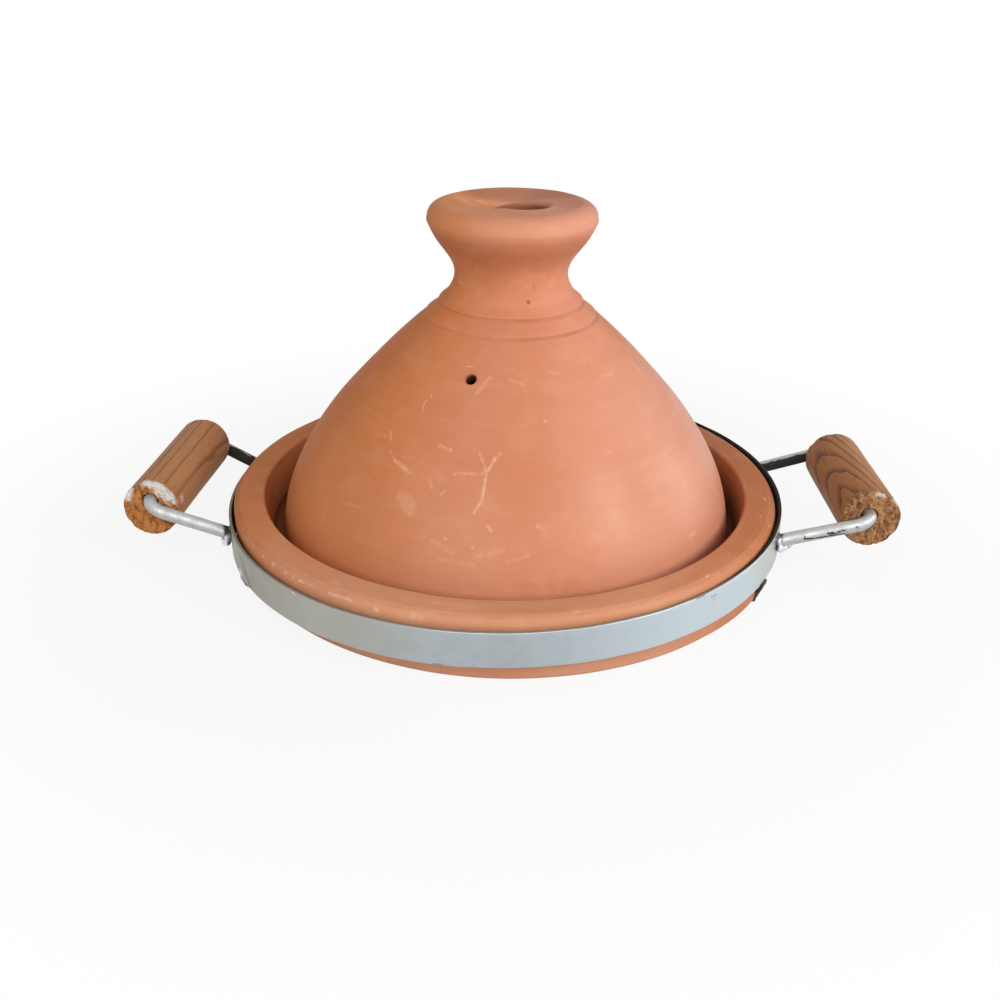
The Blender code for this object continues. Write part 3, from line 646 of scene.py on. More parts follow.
lid = {
    "base": 0.0123, "shift": 0.0010, "height": 0.1831, "radius": 0.1276, "wall": 0.0080, "edgeRound": 0.0022,
    "shoulderRadius": 0.0484, "shoulderHeight": 0.1222, "shoulderStep": 0.004, "coneFullness": 0.96,
    "coneCurve": 0.93, "neckRadius": 0.0303, "neckHeight": 0.1466, "knobRadius": 0.0449,
    "knobWaistHeight": 0.1757, "knobTopRadius": 0.0368, "knobSquareness": 0.96, "knobDip": 0.0012,
    "knobDipCurve": 2.2, "knobRipple": (0.00012, 2100.0), "knobShift": 0.0014, "cavityCrown": 0.0080,
    "ridges": ((0.1322, 0.0012, 0.30), (0.1252, 0.0009, 0.30)),  # height, how far it stands out, strength of the painted shade line under it
    "ridgeFall": 0.0040, "ridgeFoot": (0.0016, 0.0017), "ridgeGroove": (0.35, 0.0017, 0.0009),
    "roll": ((0.1745, 0.00030, 0.0019), (0.1690, -0.00035, 0.0034)),
    "recessRadius": 0.0130, "recessDepth": 0.0290, "recessShift": 0.0058, "recessLip": 0.0030,
    # the eased left side of the recess: direction, depth, place as a share of the lip, width
    "easeWay": (-0.78, 0.62), "easeDepth": 0.0028, "easePlace": 0.95, "easeWidth": 0.0095,
    "recessSquash": 0.10, "ventRadius": 0.0028, "ventHeight": 0.1076, "ventAngle": -16.8,
    # the vent's cutter: radius as a share of the vent's, distance out of the wall
    "ventShape": ((0.0, 0.010), (1.7, 0.010), (1.28, 0.0004), (1.05, -0.0006), (1.0, -0.0016),
                  (0.97, -0.020), (0.0, -0.020)),
    # painted shade inside the vent: where it starts and ends inward along the vent, width
    "ventDark": (0.0045, 0.014, 0.0062),
    "steps": 240, "uneven": (0.030, 0.00028), "pitch": 0.0034, "gloss": 0.05, "sheen": 0.70, "streaks": 0.08,
    "tone": (0.612, 0.240, 0.130),
    # painted light and shade by height: paler low on the lid, darker under the knob's roll, paler on the
    # knob's top
    "paintedHeightLight": ((-0.1, 0.070, 0.016, (1.02, 1.09, 1.15)), (0.154, 0.1790, 0.005, (0.925, 0.89, 0.82)),
              (0.186, 0.3, 0.003, (1.05, 1.19, 1.33))),
    # painted light and shade by side: way, where it fades from and to, share, colour
    "paintedSideLight": (("right", -0.15, -0.85, 0.9, (0.662, 0.229, 0.080)),
              ("right", -0.86, -0.99, 0.6, (0.59, 0.195, 0.066)),
              ("right", 0.1, 0.8, 0.8, (0.652, 0.280, 0.178)),
              ("backRight", 0.66, 0.96, 0.75, (0.50, 0.200, 0.122))),
    # painted shade along the ridges, under the knob, low down by the dish and inside the recess, each as the
    # range it fades over and then its weakest and strongest share
    "ridgeLine": (0.0016, 0.0001), "lineSide": (-0.45, 0.05, 0.15, 1.0),
    "lineScale": (3.0, 40.0, 0.0), "lineBreaks": ((1.0, 2.0), (0.35, 0.62, 0.45, 1.0)),
    "underKnob": ((0.1850, 0.1805), (0.168, 0.178), 0.20), "lowShade": (0.022, 0.012, 0.0, 0.60),
    "recessShade": (0.0018, 0.0052, 0.86), "recessEdge": (0.0030, 0.0013),
    # painted shade and painted highlights as strokes on the knob, with heights from its top: both ends, width,
    # strength
    "topShade": (((-0.014, 0.026, 0.0), (0.030, 0.025, 0.0), 0.0160, 0.34),
                 ((0.030, 0.004, 0.0), (0.034, -0.006, 0.0), 0.010, 0.10)),
    "topHighlights": (((-0.0140, 0.0100, -0.003), (0.0000, 0.0135, -0.002), 0.0050, 0.34),
                ((-0.0255, 0.0115, -0.001), (-0.0185, -0.0010, -0.002), 0.0042, 0.30)),
    "scratchWidth": 1.25, "scratchShare": 0.80, "scratchWarp": (420.0, 0.0016),
    # pale scratches seen on the front: angle and height in mm of both ends, width in mm, strength
    "scratches": (
        ((-3.8, 90.2), (-6.1, 84.5), 0.9, 0.85), ((-6.1, 84.5), (-6.6, 73.4), 0.9, 0.85),
        ((-6.6, 73.4), (-8.5, 67.8), 0.7, 0.75), ((-9.0, 92.3), (-6.3, 84.9), 0.7, 0.55),
        ((-15.5, 82.7), (-6.0, 84.2), 0.9, 0.55), ((-2.4, 92.0), (-3.8, 90.2), 1.3, 0.45),
        ((-8.8, 121.2), (-13.3, 114.6), 1.3, 0.50), ((-21.1, 124.3), (-18.5, 125.0), 0.7, 0.60),
        ((-33.2, 108.8), (-33.8, 107.2), 0.6, 0.70), ((-33.8, 107.2), (-33.0, 104.2), 0.6, 0.60),
        ((-32.2, 111.4), (-32.4, 110.2), 0.6, 0.70), ((-22.1, 92.9), (-18.1, 91.8), 1.1, 0.75),
        ((-41.8, 93.4), (-39.8, 90.1), 0.8, 0.65), ((-45.9, 90.1), (-45.4, 90.1), 0.6, 0.60),
        ((-43.2, 90.8), (-42.8, 90.6), 0.8, 0.70), ((-38.0, 86.2), (-34.9, 82.9), 0.6, 0.45),
        ((-34.9, 82.9), (-29.3, 80.2), 1.2, 0.70), ((-22.3, 79.1), (-21.0, 75.9), 1.4, 0.35),
        ((-17.1, 75.9), (-17.9, 74.4), 1.0, 0.65), ((-0.3, 120.8), (6.2, 118.7), 1.2, 0.30),
        ((-28.5, 69.5), (-25.5, 66.0), 4.2, 0.40), ((-45.4, 59.0), (-40.1, 60.0), 1.0, 0.30),
        ((-4.7, 62.9), (-3.8, 61.1), 1.2, 0.55), ((-15.0, 56.1), (-14.7, 56.1), 0.8, 0.60),
        ((-8.2, 53.8), (-7.9, 53.4), 0.8, 0.60), ((19.5, 122.7), (23.7, 121.9), 1.0, 0.30),
        ((45.7, 117.1), (52.9, 116.7), 1.2, 0.30), ((73.3, 115.9), (72.7, 111.8), 1.3, 0.45),
        ((77.1, 125.6), (78.7, 122.9), 1.0, 0.35), ((44.5, 124.3), (44.8, 124.1), 0.6, 0.50),
        ((13.0, 104.4), (13.2, 104.2), 0.8, 0.75), ((32.4, 89.0), (33.5, 87.4), 0.8, 0.45),
        ((7.7, 63.0), (9.3, 61.9), 1.1, 0.40), ((50.9, 41.0), (54.0, 40.8), 1.1, 0.45),
        ((-18.0, 54.4), (-12.6, 50.6), 1.6, 0.28), ((-7.0, 49.9), (-1.0, 53.0), 1.8, 0.26),
        ((-15.5, 47.0), (-7.5, 45.9), 1.5, 0.24), ((0.5, 48.0), (5.0, 50.4), 1.3, 0.22),
        ((-60.0, 156.6), (-57.0, 155.9), 0.8, 0.70),
    ),
    "pits": ((15.7, 151.1, 1.5, 0.70), (22.3, 158.4, 0.8, 0.40)),  # angle, height and size in mm, strength
    "farScratches": 12, "farSeed": 7,  # drawn at random round the back
}


def coneRadius(height):
    share = max(lid["shoulderHeight"] - height, 0.0) / lid["shoulderHeight"]
    return between(lid["shoulderRadius"], lid["radius"], math.sin(share * math.pi / 2) ** lid["coneFullness"])


def coneSlope(height, step):
    return (coneRadius(height + step) - coneRadius(height - step)) / (2 * step)


def outlineRadius(height):
    shoulder, radius = lid["shoulderHeight"], coneRadius(height)
    if height > shoulder:
        share = (height - shoulder) / (lid["neckHeight"] - shoulder)
        radius = between(lid["shoulderRadius"], lid["neckRadius"], math.sin(share * math.pi / 2))
    fall, (foot, footStep), (share, down, width) = lid["ridgeFall"], lid["ridgeFoot"], lid["ridgeGroove"]
    for ridge, relief, _ in lid["ridges"]:  # swells downwards, then steps in over a fine groove
        off = height - ridge
        radius += relief * (eased((fall - off) / fall) * eased((off + foot) / footStep)
                            - share * bell(off + down, width))
    return radius


def knobPoints():
    waist, points = lid["knobWaistHeight"], []
    for angle in quarter(16):
        out, up = (max(part, 0.0) ** lid["knobSquareness"] for part in (math.sin(angle), math.cos(angle)))
        points.append((between(lid["knobTopRadius"], lid["knobRadius"], out),
                       between(waist, lid["height"], up)))
    for share in shares(1, 45, 44):
        height = between(waist, lid["neckHeight"], share)
        swell = sum(relief * bell(height - line, width) for line, relief, width in lid["roll"])
        points.append((between(lid["neckRadius"], lid["knobRadius"], hump(share)) + swell, height))
    return points


def lidProfile():
    top, deep, edge, dip = lid["height"], lid["recessRadius"], lid["edgeRound"], lid["knobDip"]
    bottom, lip, lipR = top - lid["recessDepth"], lid["recessLip"], deep + lid["recessLip"]
    points = [(0.0, bottom)]  # the recess: rounded bottom, wall and lip
    points += [(deep * 0.92 * math.sin(angle), bottom + deep * 0.5 * (1 - math.cos(angle)))
               for angle in (0.3, 0.6, 0.9, 1.2, 1.45)]
    points += [(deep * (0.94 + 0.06 * share), between(bottom + deep * 0.5, top - lip * 1.2, share))
               for share in (0.15, 0.35, 0.55, 0.75, 1.0)]
    points += [(lipR - lip * math.cos(angle), top - dip - lip * 1.1 * (1 - math.sin(angle)))
               for angle in quarter(8)]
    ripple, waves = lid["knobRipple"]
    for share in shares(1, 15, 14):
        r = between(lipR, lid["knobTopRadius"], share)
        points.append((r, top - dip * (1 - share ** lid["knobDipCurve"]) + ripple * math.sin(r * waves)))
    points += knobPoints()
    start = lid["shoulderHeight"] - lid["shoulderStep"]
    heights = [between(lid["neckHeight"], start, share) for share in shares(1, 111, 110)]
    heights += [between(start, edge, share ** lid["coneCurve"]) for share in shares(1, 131, 130)]
    points += [(outlineRadius(height), height) for height in heights]
    points += arcPoints(points[-1][0] - edge, edge, edge, -15, -90, 5)
    inner = []
    for height in [between(edge, start, share) for share in shares(0, 41, 40)]:
        across = Vector((-1.0, coneSlope(height, 0.0005))).normalized()  # square to the outside
        inner.append((coneRadius(height) + across.x * lid["wall"], height + across.y * lid["wall"]))
    inner = [point for point in inner if point[1] > edge * 0.6]
    (firstR, _), (lastR, lastZ) = inner[0], inner[-1]
    points += [(firstR + edge, 0.0), (firstR + edge * 0.3, edge * 0.3), *inner]
    points += [(lastR * math.cos(angle), lastZ + lid["cavityCrown"] * math.sin(angle)) for angle in quarter(8)]
    points[-1] = (0.0, points[-1][1])
    return points


def shapeKnobTop(bm):  # moves the recess off the middle and eases its left side
    deep, flat, top = lid["recessRadius"], lid["knobTopRadius"], lid["height"]
    lip, (wayX, wayY) = deep + lid["recessLip"], lid["easeWay"]
    for vert in bm.verts:
        x, y, z = vert.co
        r = math.hypot(x, y)
        onTop = z > top - lid["recessLip"] * 1.6 and r <= flat
        inside = z >= top - lid["recessDepth"] - 0.001 and r <= deep * 1.01
        if onTop or inside:
            share = eased(1 - (r - lip) / (flat - lip))
            if r > deep * 0.9:
                backLeft = max((x * wayX + y * wayY) / r, 0.0)
                vert.co.z -= lid["easeDepth"] * backLeft * bell(r - lip * lid["easePlace"], lid["easeWidth"])
            vert.co.x += lid["recessShift"] * share
            vert.co.y *= 1 - lid["recessSquash"] * share


def leanLid(bm):
    for vert in bm.verts:
        share = clamped((vert.co.z - lid["edgeRound"]) / (lid["height"] - lid["edgeRound"]))
        vert.co += Vector((lid["knobShift"] * share + lid["shift"], 0.0, lid["base"]))


def ventAxis():
    height, radial = lid["ventHeight"], fromFront(lid["ventAngle"], 1.0, 0.0)
    outward = (radial - Vector((0, 0, coneSlope(height, 0.001)))).normalized()
    return radial * coneRadius(height) + Vector((lid["shift"], 0, height + lid["base"])), outward


def ventCutter():
    bm = spinProfile([(lid["ventRadius"] * share, out) for share, out in lid["ventShape"]], 40)
    bm.transform(facing(*ventAxis()))
    return addItem("ventCutter", meshOf(bm, "ventCutter"))


def lidPoint(angle, height):  # a place on the outside: front angle in degrees, height in mm
    own = height * 0.001 - lid["base"]
    lean = lid["knobShift"] * own / lid["height"] + lid["shift"]
    return fromFront(angle, outlineRadius(own), height * 0.001) + Vector((lean, 0.0, 0.0))


def lidStrokes():
    strokes = [(lidPoint(*start), lidPoint(*end), width * 0.001 * lid["scratchWidth"],
                strength * lid["scratchShare"]) for start, end, width, strength in lid["scratches"]]
    draw = random.Random(lid["farSeed"])
    for _ in range(lid["farScratches"]):
        start = (draw.choice((-1, 1)) * draw.uniform(95, 172), draw.uniform(45, 125))
        end = (start[0] + draw.uniform(-6, 6), start[1] + draw.uniform(-7, 7))
        strokes.append((lidPoint(*start), lidPoint(*end), draw.uniform(0.0006, 0.0012),
                        draw.uniform(0.4, 0.8)))
    return strokes


def lidMarks(place, ring):
    top, angle, height = lid["height"] + lid["base"], *splitOf(ring)[:2]
    shadeAndPits = 0.0
    # painted shade along the step under each ridge, broken in places and weaker on the left
    for ridge, _, strength in lid["ridges"]:
        off = mathOf("ABSOLUTE", minus(height, ridge + lid["base"] - lid["ridgeFoot"][0]))
        shadeAndPits = larger(times(rangeOf(off, *lid["ridgeLine"]), strength), shadeAndPits)
    shadeAndPits = times(shadeAndPits, patchOf(vectorOf("MULTIPLY", ring, lid["lineScale"]), *lid["lineBreaks"]))
    shadeAndPits = times(shadeAndPits, rangeOf(mathOf("SINE", angle), *lid["lineSide"]))
    # painted shade under the knob's roll
    upper, lower, share = lid["underKnob"]
    under = mathOf("MINIMUM", rangeOf(height, *upper), rangeOf(height, *lower))
    shadeAndPits = larger(shadeAndPits, times(under, share))
    shadeAndPits = larger(shadeAndPits, rangeOf(height, *lid["lowShade"]))
    # painted shade deep in the knob's recess
    start, end, share = lid["recessShade"]
    middle = vectorOf("SUBTRACT", place, (lid["shift"] + lid["knobShift"] + lid["recessShift"], 0, 0))
    around = rangeOf(flatLength(middle), *(lid["recessRadius"] + past for past in lid["recessEdge"]))
    deep = times(rangeOf(height, top - start, top - end, 0.0, share), around)
    inKnob = mathOf("GREATER_THAN", height, top - lid["recessDepth"] - 0.002)
    shadeAndPits = larger(shadeAndPits, times(deep, inKnob))

    def raised(marks):
        up = Vector((0.0, 0.0, top))
        return [(up + Vector(a), up + Vector(b), width, strength) for a, b, width, strength in marks]

    pits = [(lidPoint(angle, height), lidPoint(angle + 0.5, height - 0.3), size * 0.001, strength)
            for angle, height, size, strength in lid["pits"]]
    # painted shade on the knob's top, and dark pits
    shadeAndPits = larger(shadeAndPits, marksOf(place, raised(lid["topShade"]) + pits))
    # painted deep shade inside the vent
    point, outward = ventAxis()
    near, far, width = lid["ventDark"]
    dark = marksOf(place, [(point - outward * near, point - outward * far, width, 1.0)])
    # pale marks: scratches, and painted highlights on the knob's top
    return marksOf(warpOf(place, *lid["scratchWarp"]), lidStrokes() + raised(lid["topHighlights"])), shadeAndPits, dark


def makeLid():
    bm = spinProfile(lidProfile(), lid["steps"])
    shapeKnobTop(bm)
    leanLid(bm)
    makeUneven(bm, *lid["uneven"])
    blank, cutter = addItem("lidBlank", meshOf(bm, "lidBlank")), ventCutter()
    drill = blank.modifiers.new("drill", "BOOLEAN")
    drill.operation, drill.solver, drill.object = "DIFFERENCE", "EXACT", cutter
    mesh = appliedMesh(blank, "clayLid")
    bpy.data.objects.remove(cutter, do_unlink=True)
    dressPiece(mesh, "clayLid", ["lid"], "lid", "fired_clay", [makeClay("wheelClayLid", lid, lidMarks)], 50)


makeLid()
print("stage: lid")


# Hoop

hoop = {
    "innerRadius": 0.1553, "thickness": 0.0018, "width": 0.0192, "shift": 0.0004, "middle": 0.0223,
    "sideLean": 1.18, "frontLean": 0.35, "edgeRound": 0.00035, "steps": 288,
    "pushWave": (0.00018, 2.6, 60), "liftWave": (0.00015, 9, 4.0),  # how far, how fine, then up or seed
    "tone": (0.420, 0.465, 0.490), "cloud": (0.385, 0.430, 0.460), "mottle": 0.012,
    # painted reflection and shade across the band: from, to, share, colour
    "paintedSideLight": ((-0.020, -0.085, 1.0, (0.415, 0.415, 0.375)), (-0.090, -0.148, 1.0, (0.285, 0.260, 0.205)),
              (0.000, 0.100, 0.90, (0.570, 0.655, 0.700)), (0.118, 0.148, 0.85, (0.505, 0.515, 0.440))),
    "dirt": (0.22, 0.22, 0.20), "burnt": (0.030, 0.028, 0.026), "bright": (0.85, 0.86, 0.84),
    "clouds": (0.35, 0.7), "dirtSpan": (0.60, 0.80, 0.0, 0.08), "burnWarp": (420.0, 0.0030),
    "nickWarp": (1500.0, 0.0006), "burnRough": 0.75, "burnHeight": 2.0,
    "roughness": (0.36, 0.48), "metallic": 0.85, "relief": 0.00004,
    # cut edges: painted shade darkens them next to the clay, and all across on the right and behind
    "edgeLight": (0.300, 0.270, 0.215), "edgeShade": (0.030, 0.024, 0.018), "edgeGloss": 0.10,
    "edgeRoughness": 0.8, "edgeFade": (0.0003, -0.0001),
    "edgeWay": (0.60, 0.35), "edgeGrow": (0.010, 0.090, 0.0002, 0.0022),
    # inside faces: near-black steel as painted shade, as tone, worn tone, roughness, metallic, gloss
    "inside": ((0.022, 0.018, 0.014), (0.05, 0.042, 0.033), (0.7, 0.9), 0.0, 0.10),
}


def hoopMatrix():
    lean = (Matrix.Rotation(-math.radians(hoop["sideLean"]), 4, "Y")
            @ Matrix.Rotation(math.radians(hoop["frontLean"]), 4, "X"))
    return Matrix.Translation((hoop["shift"], 0.0, hoop["middle"])) @ lean


def hoopPoint(angle, height):
    return fromFront(angle, hoop["innerRadius"] + hoop["thickness"], height)


# marks on the band, in the hoop's frame: angle from the front, height, then the other end
bandMarks = {
    "burns": (
        ((-74.3, 0.0050), (-74.3, -0.0035), 0.0052, 0.95), ((70.2, 0.0040), (70.2, -0.0030), 0.0040, 0.85),
        ((105.5, 0.0030), (105.5, -0.0030), 0.0050, 0.85),
        ((-108.7, 0.0030), (-108.7, -0.0050), 0.0050, 0.90),
        ((-64.0, 0.0052), (-61.0, -0.0010), 0.0018, 0.50),
        ((-61.0, -0.0010), (-57.6, -0.0085), 0.0024, 0.55),
        ((-62.0, 0.0010), (-58.5, -0.0060), 0.0046, 0.22),
    ),
    "nicks": (
        ((70.8, -0.0080), (68.6, -0.0092), 0.0009, 0.9), ((66.9, -0.0090), (65.4, -0.0094), 0.0008, 0.8),
        ((41.2, 0.0050), (41.0, 0.0036), 0.0004, 0.6), ((41.9, 0.0062), (40.3, 0.0064), 0.0004, 0.6),
        ((36.5, 0.0092), (38.5, 0.0094), 0.0005, 0.6), ((-12.0, -0.0090), (-10.5, -0.0092), 0.0005, 0.5),
    ),
    "light": (((-41.2, 0.0090), (-40.6, 0.0086), 0.0008, 0.4),
              ((-64.4, -0.0066), (-63.2, -0.0082), 0.0012, 1.0)),
}


def bandMask(kind, place):
    return marksOf(place, [(hoopPoint(*start), hoopPoint(*end), width, strength)
                           for start, end, width, strength in bandMarks[kind]])


def makeBand():
    material, shader, place = startMaterial("galvanisedBand")
    own = ownPlace(place, hoopMatrix())
    cloud, grain = useGroup(metalMottle, {"Place": own, "Size": hoop["mottle"]})
    colour = mixOf(rangeOf(cloud, *hoop["clouds"]), hoop["tone"], hoop["cloud"])
    for start, end, share, tone in hoop["paintedSideLight"]:  # painted reflection and shade, from left to right: darker olive on the left, pale blue to the right, yellowish at the right end
        colour = mixOf(rangeOf(splitOf(own)[0], start, end, 0.0, share), colour, tone)
    burn = bandMask("burns", warpOf(own, *hoop["burnWarp"]))
    nick = bandMask("nicks", warpOf(own, *hoop["nickWarp"]))
    colour = mixOf(rangeOf(grain, *hoop["dirtSpan"]), colour, hoop["dirt"])
    colour = mixOf(larger(burn, nick), colour, hoop["burnt"])
    colour = mixOf(bandMask("light", own), colour, hoop["bright"])
    rough = larger(rangeOf(cloud, *metal["mid"], *hoop["roughness"]), times(burn, hoop["burnRough"]))
    setShader(shader, {"Base Color": colour, "Roughness": rough, "Metallic": hoop["metallic"]},
              plus(cloud, times(burn, hoop["burnHeight"])), hoop["relief"])
    return material


def makeSteel(name, tone, worn, roughness, metallic, gloss=0.5):
    material, shader, place = startMaterial(name)
    cloud, grain = useGroup(metalMottle, {"Place": place, "Size": metal["steelSize"]})
    colour = mixOf(rangeOf(cloud, *metal["steelCloud"]), tone, worn)
    colour = mixOf(rangeOf(grain, *metal["steelWear"]), colour, worn)
    setShader(shader, {"Base Color": colour, "Roughness": rangeOf(grain, *metal["mid"], *roughness),
                       "Metallic": metallic, "Specular IOR Level": gloss}, grain, metal["relief"])
    return material


def makeCutEdge():  # painted shade: dark next to the clay, and all across on the right and behind
    material, shader, place = startMaterial("cutEdge")
    own = ownPlace(place, hoopMatrix())
    x, y, _ = splitOf(own)
    way = plus(times(x, hoop["edgeWay"][0]), times(y, hoop["edgeWay"][1]))
    across = minus(flatLength(own), rangeOf(way, *hoop["edgeGrow"]))
    dark = rangeOf(across, *(hoop["innerRadius"] + past for past in hoop["edgeFade"]))
    setShader(shader, {"Base Color": mixOf(dark, hoop["edgeLight"], hoop["edgeShade"]),
                       "Roughness": hoop["edgeRoughness"], "Specular IOR Level": hoop["edgeGloss"]})
    return material


def makeHoop():
    inner, e, half = hoop["innerRadius"], hoop["edgeRound"], hoop["width"] / 2 - hoop["edgeRound"]
    outer = inner + hoop["thickness"]
    profile = [*arcPoints(outer - e, half, e, 90, 0, 3),
               *((outer, between(half, -half, share)) for share in shares(1, 8, 8)),
               *arcPoints(outer - e, -half, e, 0, -90, 3), *arcPoints(inner + e, -half, e, -90, -180, 3),
               *((inner, between(-half, half, share)) for share in shares(1, 8, 8)),
               *arcPoints(inner + e, half, e, 180, 90, 3)]
    bm = spinProfile(profile, hoop["steps"], closed=True)
    (push, pushFine, pushUp), (lift, liftFine, seed) = hoop["pushWave"], hoop["liftWave"]
    for vert in bm.verts:  # the flat bar was bent by hand, so it is never quite true
        way = Vector((*vert.co.xy.normalized(), 0.0))
        vert.co += way * push * noise.noise(way * pushFine + Vector((0.0, 0.0, vert.co.z * pushUp)))
        vert.co.z += lift * noise.noise(way * liftFine + Vector((0.0, 0.0, seed)))
    for face in bm.faces:
        middle = face.calc_center_median()
        inwards = face.normal.x * middle.x + face.normal.y * middle.y < -0.4 * middle.xy.length
        face.material_index = 2 if inwards else 1 if abs(face.normal.z) > 0.80 else 0
    bm.transform(hoopMatrix())
    # the inside faces are near black, painted shade
    inside = makeSteel("shadedInside", *hoop["inside"])
    finishPiece(bm, "steelHoop", ["hoop_band"], "carrying_frame", "galvanised_band",
                [makeBand(), makeCutEdge(), inside], 50)


makeHoop()
print("stage: hoop")


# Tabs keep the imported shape, apart from the front right one, which was cut narrower

tabs = {  # looks: tone, worn tone, roughness, metallic; the dark look is near black as painted shade
    "dark": ((0.020, 0.020, 0.020), (0.10, 0.09, 0.08), (0.45, 0.70), 0.3),
    "grey": ((0.260, 0.250, 0.210), (0.36, 0.34, 0.30), (0.45, 0.70), 0.7),
    "edgeRound": 0.0002, "cutHeight": 0.0018, "cutSlope": 0.45, "cutWidth": 0.0025, "stretch": 1.10,
    "stand": 0.0008,
}


def narrowTab(name, material):
    low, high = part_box(name)
    base, up = (low + high) / 2, Vector((0.0, 0.0, 1.0))
    base.z = low.z + tabs["cutHeight"]
    along = Vector((-base.y, base.x, 0.0)).normalized()
    bm = bmesh.new()
    bm.from_mesh(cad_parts[name].data)
    bmesh.ops.remove_doubles(bm, verts=bm.verts, dist=1e-6)
    for point, way in ((base, up), (base, along + up * tabs["cutSlope"]),
                       (base + along * tabs["cutWidth"], -along)):
        bmesh.ops.bisect_plane(bm, geom=[*bm.verts, *bm.edges, *bm.faces], plane_co=point,
                               plane_no=way.normalized(), clear_inner=True)
        fillHoles(bm)
    bmesh.ops.dissolve_limit(bm, angle_limit=math.radians(2), verts=bm.verts, edges=bm.edges)
    bmesh.ops.scale(bm, verts=bm.verts, vec=(1.0, 1.0, tabs["stretch"]),
                    space=Matrix.Translation((0.0, 0.0, -high.z)))
    outwards = Vector((base.x, base.y, 0.0)).normalized()
    bmesh.ops.translate(bm, verts=bm.verts, vec=outwards * tabs["stand"])
    corners = [edge for edge in bm.edges if edge.is_manifold and edge.calc_face_angle() > math.radians(40)]
    bmesh.ops.bevel(bm, geom=corners, offset=tabs["edgeRound"], segments=2, profile=0.5,
                    affect="EDGES", material=-1)
    finishPiece(bm, "tabFrontRight", [name], "carrying_frame", "dark_steel", [material])


def dressTabs():
    # the near-black tabs are painted shade
    dark, grey = makeSteel("shadedTab", *tabs["dark"]), makeSteel("greyTab", *tabs["grey"])
    narrowTab("tab_front_right", dark)
    for name in ("tab_back_right", "tab_back_left", "tab_front_left"):
        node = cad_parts[name]
        node.data.materials.clear()
        node.data.materials.append(grey if name == "tab_front_left" else dark)


dressTabs()
print("stage: tabs")


# Handles: places are in the hoop's frame, angles from the front, reach from its outer face

handles = {
    "rodRadius": 0.0035, "bendRadius": 0.0090, "bendSteps": 12, "root": 0.0026, "rodSides": 28,
    "legSteps": 10, "uneven": (1 / 140, 0.00012),
    "right": {
        "side": 1, "nearWeld": (69.7, 0.0022), "farWeld": (105.5, 0.0000),
        "near": (0.0394, -0.0589, 0.0157), "far": (0.0431, 0.0436, 0.0130),
        "woodNear": (0.0007, 0.0016), "woodFar": (-0.0020, 0.0017),
    },
    "left": {
        "side": -1, "nearWeld": (-74.3, 0.0018), "farWeld": (-108.7, -0.0017),
        "near": (0.0376, -0.0494, 0.0220), "far": (0.0286, 0.0546, 0.0176),
        "woodNear": (-0.0002, 0.0046), "woodFar": (0.0022, -0.0012),
    },
}
rodLooks = {
    "tone": (0.480, 0.490, 0.475), "cloud": (0.405, 0.420, 0.425), "under": (0.008, 0.007, 0.006),
    "speck": (0.50, 0.49, 0.44), "mottle": 0.0035, "roughness": (0.44, 0.62), "gloss": 0.04,
    "relief": 0.00012, "metallic": (0.0, 1.0, 0.85, 0.0), "warp": (1400.0, 0.0012),
    # painted shade and reflection below the rods: where the far legs begin, how high the dark climbs there
    # from its level on the near ones
    "far": (-0.010, 0.035), "climb": (0.02, -0.02, 1.62, 1.70), "level": -0.62, "cloudShare": 0.35,
    "edge": (-0.10, 0.10, 0.0, 0.95), "rearShade": (0.10, 0.45, 0.0), "backs": {"right": 0.80, "left": 0.35},
    "ends": (0.1612, 0.1592, 0.0, 0.9), "shadeAndBurnRough": 0.7, "clouds": (0.40, 0.75),
    "speckSpan": (0.64, 0.74, 0.0, 0.55), "speckUp": (0.2, 0.6),
    # dark scratches: two ends, width, strength
    "right": (((0.1609, -0.0590, 0.0310), (0.1664, -0.0595, 0.0320), 0.0007, 1.0),
              ((0.1664, -0.0595, 0.0320), (0.1811, -0.0606, 0.0354), 0.0007, 1.0),
              ((0.1610, -0.0590, 0.0326), (0.1612, -0.0590, 0.0308), 0.0006, 0.9),
              ((0.1727, -0.0602, 0.0351), (0.1752, -0.0605, 0.0358), 0.0007, 1.0),
              ((0.1740, -0.0603, 0.0345), (0.1790, -0.0607, 0.0366), 0.0006, 1.0),
              ((0.1777, -0.0607, 0.0366), (0.1812, -0.0610, 0.0378), 0.0006, 0.9),
              ((0.1869, -0.0614, 0.0399), (0.1874, -0.0614, 0.0396), 0.0008, 0.8)),
    "left": (((-0.168, -0.0500, 0.0300), (-0.164, -0.0490, 0.0292), 0.0005, 0.4),),
}


def handleCorners(shape):
    near, far = (Vector((shape["side"] * (hoop["innerRadius"] + hoop["thickness"] + reach), along, rise))
                 for reach, along, rise in (shape["near"], shape["far"]))
    return hoopPoint(*shape["nearWeld"]), near, far, hoopPoint(*shape["farWeld"])


def extrudeRing(bm, edges, shift):
    for _ in range(handles["legSteps"]):
        made = bmesh.ops.extrude_edge_only(bm, edges=edges)["geom"]
        verts = [item for item in made if isinstance(item, bmesh.types.BMVert)]
        edges = [item for item in made if isinstance(item, bmesh.types.BMEdge)
                 and item.verts[0] in verts and item.verts[1] in verts]
        bmesh.ops.translate(bm, verts=verts, vec=shift / handles["legSteps"])
    return edges


